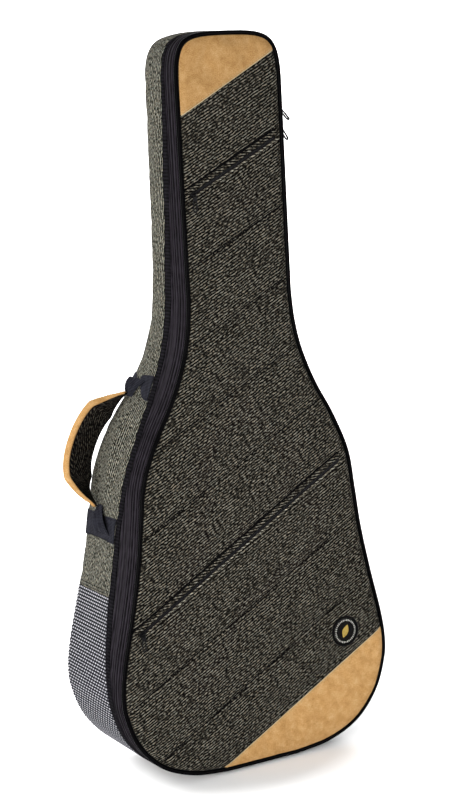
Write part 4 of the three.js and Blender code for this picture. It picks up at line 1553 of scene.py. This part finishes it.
# ---- zip sliders and pulls ---------------------------------------------------------------------
def slab_from(loops, thickness, bevel, place):
    """A flat plate with rounded edges: outline and holes in its own XY, its middle on z = 0."""
    curve = bpy.data.curves.new("plate", "CURVE")
    curve.dimensions = "2D"
    curve.fill_mode = "BOTH"
    curve.extrude = (thickness / 2 - bevel) * MM
    curve.bevel_depth = bevel * MM
    curve.bevel_resolution = 2
    curve.offset = -bevel * MM
    for loop in loops:
        line = curve.splines.new("POLY")
        line.points.add(len(loop) - 1)
        line.points.foreach_set("co", np.column_stack(
            [np.array(loop) * MM, np.zeros(len(loop)), np.ones(len(loop))]).ravel())
        line.use_cyclic_u = True
    holder = new_object("plate", curve)
    graph = bpy.context.evaluated_depsgraph_get()
    mesh = bpy.data.meshes.new_from_object(holder.evaluated_get(graph))
    bpy.data.objects.remove(holder)
    bpy.data.curves.remove(curve)
    mesh.transform(place)
    return new_object("plate", mesh)


def stadium(length, width, centre=0.0, steps=10):
    """A slot's outline: two half circles and the straight sides between them."""
    reach, r = (length - width) / 2, width / 2
    turn = np.linspace(-math.pi / 2, math.pi / 2, steps)
    right = np.stack([centre + reach + r * np.cos(turn), r * np.sin(turn)], -1)
    left = np.stack([centre - reach - r * np.cos(turn), -r * np.sin(turn)], -1)
    return np.vstack([right, left])


def place_matrix(x_axis, y_axis, z_axis, origin):
    made = np.eye(4)
    made[:3] = np.column_stack([x_axis, y_axis, z_axis, np.array(origin) * MM])
    return Matrix(made.tolist())


def slider_outline(length, width):
    """Slider seen from above: wide at one end, waisted, split at the other."""
    half = length / 2
    points = [(-half, 0.30), (-half * 0.9, 0.46), (-half * 0.35, 0.50), (half * 0.1, 0.46),
              (half * 0.6, 0.36), (half * 0.92, 0.28), (half, 0.16)]
    upper = [(x, y * width) for x, y in points]
    return np.array(upper + [(x, -y) for x, y in upper[::-1]])


def make_slider(name, length, width, height, bridge, axes, origin):
    """Two plates, the bridge over them, and side walls; origin is the slider's underside."""
    x_axis, y_axis, z_axis = (np.array(a, float) for a in axes)
    at = lambda rise: np.array(origin) + z_axis * rise
    plate = lambda loop, thickness, bevel, rise: slab_from(
        [loop], thickness, bevel, place_matrix(x_axis, y_axis, z_axis, at(rise)))
    outline = slider_outline(length, width)
    top = plate(outline, 1.1, 0.45, height - 0.55)
    low = plate(outline * 0.96, 0.9, 0.35, 0.45)
    arch = spline([(-length * 0.36, 0), (-length * 0.3, bridge * 0.8), (-length * 0.1, bridge),
                   (length * 0.14, bridge), (length * 0.3, bridge * 0.55), (length * 0.36, 0)], 8)
    rings = []
    for (x, z), (nx, nz) in zip(arch, bearings(arch)[1]):
        section = [(1.5 * math.cos(t), 0.55 * math.sin(t)) for t in round_turn(8) + math.pi / 8]
        rings.append([at(height - 0.3 + z + nz * b) + x_axis * (x + nx * b) + y_axis * a for a, b in section])
    wall = stadium(length * 0.62, 1.0, -length * 0.08, 6)
    walls = [plate(wall + (0, side * width * 0.40), height - 0.8, 0.2, height / 2) for side in (-1, 1)]
    obj = joined(f"{name}_slider_body", [top, low, loft("bridge", rings), *walls])
    finish_piece(obj, "metal", f"{name}_slider", "zip_metal", f"{name}_slider")


def make_pull(name, length, width, thickness, down, across, pivot):
    """A flat pull with an eye at its pivot and a long window at its free end."""
    place = place_matrix(down, across, np.cross(down, across), pivot)
    outline = stadium(length, width, length / 2 - 1.2, 12)
    outline[:, 1] *= 1 - 0.34 * hump(outline[:, 0], length * 0.24, length * 0.13)
    window = stadium(length * 0.55, width * 0.48, length * 0.60)
    eye = stadium(2.6, 2.2, 1.6, 8)
    obj = joined(f"{name}_pull_tab", [slab_from([outline, window, eye], thickness, thickness * 0.36, place)])
    finish_piece(obj, "metal", f"{name}_pull", "zip_metal", f"{name}_pull")


# height of each main slider, and how far its pull leans out from straight down, in degrees
MAIN_PULLS = {"upper_main": (980, 40), "lower_main": (954, 30)}


def make_main_zip_sliders():
    """The main zip's sliders, on the right side of the head."""
    face = NECK_HALF + 0.3
    for name, (height, lean) in MAIN_PULLS.items():
        make_slider(name, 14, 10, 3, 2.6, ((0, 0, -1), (0, 1, 0), (1, 0, 0)), (face, FRONT_Y + SPLIT, height))
        angle = math.radians(lean)
        down = np.array([math.sin(angle), 0, -math.cos(angle)])
        make_pull(name, 29, 9.5, 2.4, down, BACKWARD, (face + 7.4, FRONT_Y + SPLIT, height - 9))


def make_pocket_sliders():
    """The pockets' sliders, near the left ends of their zips, with their pulls hanging down."""
    for name, line in POCKETS.items():
        a, direction, up, _ = line_frame(line)
        at = a + direction * POCKET_SLIDER_AT
        axes = ((direction[0], 0, direction[1]), (up[0], 0, up[1]), (0, -1, 0))
        make_slider(name, 10, 8, 2, 2, axes, (at[0], FRONT_Y + 0.7 - SLIDER_CLEAR, at[1]))
        make_pull(name, 26, 7, 1.5, (0, 0, -1), (1, 0, 0), (at[0], FRONT_Y + 0.7 - 5.4, at[1] - 1))


make_main_zip_sliders()
make_pocket_sliders()


# ---- straps' small parts, on the back ----------------------------------------------------------
STRAP_WEB = [(104, 258), (122, 170), (140, 84)]
STRAP_WEB_WIDTH = 25


def finish_strap(name, side):
    """A shoulder strap's pad, its stitching, and the webbing below it."""
    pad = refine(strap_pads[name])
    finish_piece(pad, "strap_pad", "case", "strap_pad", f"shoulder_strap_{name}", fill_share=0.7)
    line, across = strap_frame(STRAP_WEB, side, 5)
    flat = line[:, None] + across[:, None] * (np.linspace(-1, 1, 9)[None, :, None] * STRAP_WEB_WIDTH / 2)
    web = sheet(f"strap_web_{name}_strip", on_back(flat, STRAP_LIFT + 1.5))
    face_towards(web, BACKWARD)
    thicken(web, 1.4)
    finish_piece(web, "webbing", "case", "webbing", f"strap_web_{name}")
    line, across = strap_frame(STRAP_PATH, side, 5)
    from_edge = STRAP_WIDTH / 2 - 3.5
    lift = STRAP_LIFT + STRAP_PAD * 0.72
    rows = [stitches("strap_row", on_back((line + across * offset)[3:-3], lift), BACKWARD)
            for offset in (-from_edge, from_edge)]
    finish_piece(joined(f"strap_{name}_stitches", rows), "dark_thread", "case", "strap_pad")


for side_name, side_sign in SIDES.items():
    finish_strap(side_name, side_sign)


def make_sewn_patch(name, node, corners, step, spacing, lift_of, thickness):
    """A patch of binding sewn to the back; its lift depends on the distance from its edge."""
    corners = np.array(corners, float)
    filled = fill(evenly(np.vstack([corners, corners[:1]]), step)[:-1], spacing)
    edge = distance_to(filled[0], corners, closed=True)
    obj = upright_sheet(name, filled, back_y(filled[0], lift_of(edge)), 1)
    thicken(obj, thickness)
    finish_piece(obj, "binding", "case", "black_binding", node)


def make_tab(name, side):
    """A sewn tab that holds the lower end of a strap's webbing."""
    corners = [(118 * side, 96), (170 * side, 118), (176 * side, 70), (140 * side, 46)]
    lift = lambda edge: 2.4 - 0.9 * np.exp(-edge / 1.6) - 0.5 * hump(edge, 5, 1.0)
    make_sewn_patch(f"strap_tab_{name}_patch", f"strap_tab_{name}", corners, 3, 4.0, lift, 1.4)


def make_ladder_lock(name, side):
    """A strap adjuster: a rounded frame with a bar across its middle, square to its strap."""
    low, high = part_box(f"ladder_lock_{name}")
    middle = (low + high) / 2 / MM
    angle = math.atan2(36, 172) * side
    above, below = 268.0, 188.0
    slope = (depth_at(below) - depth_at(above)) / (above - below)
    along = np.array([math.sin(angle), slope, -math.cos(angle)])
    along /= np.linalg.norm(along)
    out = BACKWARD - (BACKWARD @ along) * along
    out /= np.linalg.norm(out)
    across = np.cross(out, along)
    place = place_matrix(across, along, out, middle)
    corner = 3.6
    outer = []
    for quarter, (x, y) in zip((0, 1, -2, -1), ((14, 11), (-14, 11), (-14, -11), (14, -11))):
        turn = quarter * math.pi / 2 + np.linspace(0, math.pi / 2, 6)
        outer += [(x + corner * math.cos(t), y + corner * math.sin(t)) for t in turn]
    windows = [[(x, y * half) for x, y in ((-13, 1.8), (13, 1.8), (13, 10.6), (-13, 10.6))]
               for half in (1, -1)]
    plate = slab_from([outer, *windows], 3.8, 0.9, place)
    obj = joined(f"ladder_lock_{name}_frame", [plate])
    finish_piece(obj, "buckle", f"ladder_lock_{name}", "buckle", f"ladder_lock_{name}")


def make_yoke():
    """The patch that the straps' upper ends are sewn under."""
    corners = [(-71, 640), (71, 640), (60, 735), (-60, 735)]
    lift = lambda edge: 2.2 - 1.2 * np.exp(-edge / 1.8) - 0.5 * hump(edge, 6, 1.1)
    make_sewn_patch("strap_yoke_patch", "strap_yoke", corners, 4, 5.0, lift, 1.6)


def make_hanging_loop():
    """A webbing loop at the head, its two ends sewn to the back."""
    height = 1010
    base = FRONT_Y + depth_at(height) + 1.6
    path = spline([(0.6, -27), (8, -25.5), (22, -19), (28, 0), (22, 19), (8, 25.5), (0.6, 27)], 10)
    half = [(-1, -0.5), (-0.96, -0.9), (0, -1.1), (0.96, -0.9), (1, -0.5)]
    section = half + [(-s, -h) for s, h in half]
    rings = []
    for (y, z), (ny, nz) in zip(path, bearings(path)[1]):
        ring = [(12.2 * s, y + ny * h, z + nz * h) for s, h in section]
        rings.append([(x, base + y, height + z - 0.055 * y) for x, y, z in ring])
    obj = loft("hanging_loop_webbing", rings)
    finish_piece(obj, "webbing", "case", "webbing", "hanging_loop")


for side_name, side_sign in SIDES.items():
    make_tab(side_name, side_sign)
    make_ladder_lock(side_name, side_sign)
make_yoke()
make_hanging_loop()


# ---- inside: padding, plush lining, neck rest --------------------------------------------------
def ring_of(name, insets, depths):
    """A closed band right round, whose section is given by insets and depths, one column each."""
    stations = ring_stations(6.0)
    z = heights_at(stations)
    inset = np.stack([np.broadcast_to(i, z.shape) for i in insets], -1)
    depth = np.stack([np.broadcast_to(d(z) if callable(d) else d, z.shape) for d in depths], -1)
    return loft(name, side_point(stations[:, None], inset, depth), wrap=True)


def make_padding():
    """The foam and the plush lining inside the case's side, and the foam inside the lid's rim."""
    floor = lambda z: side_depth(z) - 20.8
    foam = ring_of("side_padding", (2.4, 5, 13, 15.8, 15.8, 2.4), (30.5, 28.6, 28.6, 30.5, floor, floor))
    finish_piece(foam, "foam", "case", "foam", "side_foam", fill_share=0.9)
    lid_rim = ring_of("lid_rim_padding", (2.4, 5, 11.4, 13.8, 13.8, 2.4), (25.8, 27.4, 27.4, 25.8, 7.8, 7.8))
    finish_piece(lid_rim, "foam", "lid", "foam", "lid_rim_foam", fill_share=0.9)
    lining = ring_of("side_plush_lining",
                     (2.3, 3.4, 15.0, 17.6, 17.6, 16.3, 16.3, 14.4, 3.8, 2.3),
                     (29.4, 28.3, 28.3, 30.6, floor, floor, 31.0, 28.5, 28.5, 29.6))
    finish_piece(lining, "plush", "case", "plush", "side_lining")


def make_flat_padding(name, node, body, look, inset, show, thickness, crown=0.0):
    """A flat pad or lining, its free side at a depth; the case's follow the curve of its back."""
    loop = inset_loop(inset, 6)
    filled = fill(loop, 9.0)
    flat = filled[0]
    swell = crown * (1 - np.exp(-distance_to(flat, loop, closed=True) / 14))
    base, facing = (side_depth(flat[:, 1]), -1) if body == "case" else (0.0, 1)
    obj = upright_sheet(name, filled, FRONT_Y + base + show + facing * swell, facing)
    thicken(obj, thickness)
    finish_piece(obj, look, body, look, node, fill_share=0.9 if look == "foam" else None)


def make_neck_rest():
    """A plush block with a round notch for the guitar's neck, and the strap across it."""
    half = NECK_HALF - 18.5
    front = 50
    back = depth_at(790.0) - 22.4
    notch = [(27 * math.cos(t), front + 22 * math.sin(t)) for t in np.linspace(math.pi, 0, 15)[1:-1]]
    side = [(half, back), (half, front + 2.5), (half - 2.5, front), (30.5, front), (28.2, front + 0.8)]
    section = np.array([(-x, y) for x, y in side] + notch + side[::-1])
    middle = np.array([0, (front + back) / 2])
    layers = [(730.0, 0.965), (730.9, 0.985), (733, 1.0), (745, 1.0), (760, 1.0), (775, 1.0), (787, 1.0),
              (789.1, 0.985), (790, 0.965)]
    rings = [[(*(middle + (p - middle) * k), z) for p in section] for z, k in layers]
    block = loft("neck_rest_block", np.array(rings) + (0, FRONT_Y, 0))
    finish_piece(block, "plush", "case", "plush", "neck_cradle", fill_share=0.9)
    x = np.linspace(-half + 1.5, half - 1.5, 50)
    sag = 1.1 * hump(x, 0, 25)
    z = np.linspace(741.5, 778.5, 9)
    flat = np.stack(np.meshgrid(x, z, indexing="ij"), -1)
    strap = sheet("neck_strap_band", upright(flat, FRONT_Y + front - 2.6 + sag[:, None]))
    face_towards(strap, (0, -1, 0))
    thicken(strap, 1.4)
    finish_piece(strap, "binding", "case", "black_binding", "neck_strap")


def make_pouch(name, low, high):
    """The thin fabric pouch behind a pocket's zip."""
    loop = inset_loop(FACE_EDGE + 8.5, 6)
    loop = clip_loop(loop, ((-300, low), (300, low)), True)
    loop = clip_loop(loop, ((-300, high), (300, high)), False)
    filled = fill(loop, 9.0)
    obj = upright_sheet(f"{name}_pouch_fabric", filled, FRONT_Y + 4.0 + 0.2 * ripple(filled[0], 60, 5), -1)
    thicken(obj, 0.5)
    finish_piece(obj, "pouch", "lid", "pouch_lining", f"{name}_pouch")


make_padding()
make_flat_padding("back_padding", "back_foam", "case", "foam", 12.4, -20.2, 17.7)
make_flat_padding("back_plush_lining", "back_lining", "case", "plush", 18.2, -22.2, 1.3, 0.5)
make_flat_padding("lid_padding", "lid_foam", "lid", "foam", 14.4, 17.7, 12.4)
make_flat_padding("lid_plush_lining", "lid_lining", "lid", "plush", 14.4, 19.4, 1.3, 0.6)
make_neck_rest()
make_pouch("upper_pocket", 702, 928)
make_pouch("lower_pocket", 42, 398)


# ---- floor, light and camera -------------------------------------------------------------------
def make_stage():
    """A pale floor that curves up into a backdrop."""
    x = np.linspace(-6000, 6000, 9)
    profile = spline([(-6000, 0), (-2000, 0), (1500, 0), (3000, 60), (4300, 1100), (4700, 3000),
                      (4750, 6000)], 8)
    y, z = profile[:, :1], profile[:, 1:] - 0.4
    grid = np.stack(np.broadcast_arrays(x[None], y, z), -1)
    floor = sheet("studio_floor", grid)
    look = Look("floor", roughness=0.9)
    tone = look.noise(look.place(), scale=0.8, detail=1.0)
    look.link(look.ramp(tone, [(0.3, grey(0.86)), (0.7, grey(0.90))]), "Base Color")
    floor.data.materials.append(look.material)


def area_light(name, place, target, size, power, colour=(1, 1, 1)):
    light = bpy.data.lights.new(name, "AREA")
    light.shape = "RECTANGLE"
    light.size, light.size_y = size
    light.energy = power
    light.color = colour
    obj = new_object(name, light)
    obj.location = place
    obj.rotation_euler = (Vector(target) - Vector(place)).to_track_quat("-Z", "Y").to_euler()


def make_lights():
    """A soft key from the left, a fill from the right, a top light, and two that lift the backdrop."""
    middle = (0, 0, 0.38)
    area_light("key", (-1.8, -1.3, 0.5), middle, (0.8, 1.0), 70, (1.0, 0.99, 0.97))
    area_light("fill", (0.95, -2.1, 0.3), middle, (1.3, 1.0), 42, (0.97, 0.985, 1.0))
    area_light("top", (0.2, 0.6, 3.2), middle, (2.4, 2.0), 14)
    area_light("backdrop_left", (-3.2, 1.6, 3.6), (-1.5, 4.4, 1.0), (3.0, 2.0), 420)
    area_light("backdrop_right", (3.6, 1.6, 3.6), (2.6, 4.4, 1.0), (3.0, 2.0), 420)
    world = bpy.data.worlds.new("studio")
    bpy.context.scene.world = world
    world.use_nodes = True
    world.node_tree.nodes["Background"].inputs["Color"].default_value = grey(1.0)
    world.node_tree.nodes["Background"].inputs["Strength"].default_value = 0.5


def make_camera():
    """A long lens from the front left, a little above the bag's middle."""
    camera = bpy.data.cameras.new("camera")
    camera.sensor_fit = "AUTO"
    camera.sensor_width = 36
    camera.lens = 80.75
    camera.clip_end = 50
    obj = new_object("camera", camera)
    right = Vector((0.8651, -0.4989, -0.0526))
    up = Vector((0.1266, 0.1157, 0.9852))
    forward = right.cross(up).normalized() * -1
    turned_to = Matrix((right, up, -forward)).transposed()
    obj.matrix_world = Matrix.Translation((-1.2860, -2.3198, 0.9793)) @ turned_to.to_4x4()
    bpy.context.scene.camera = obj


make_stage()
make_lights()
make_camera()
bpy.context.scene.view_settings.view_transform = "Standard"
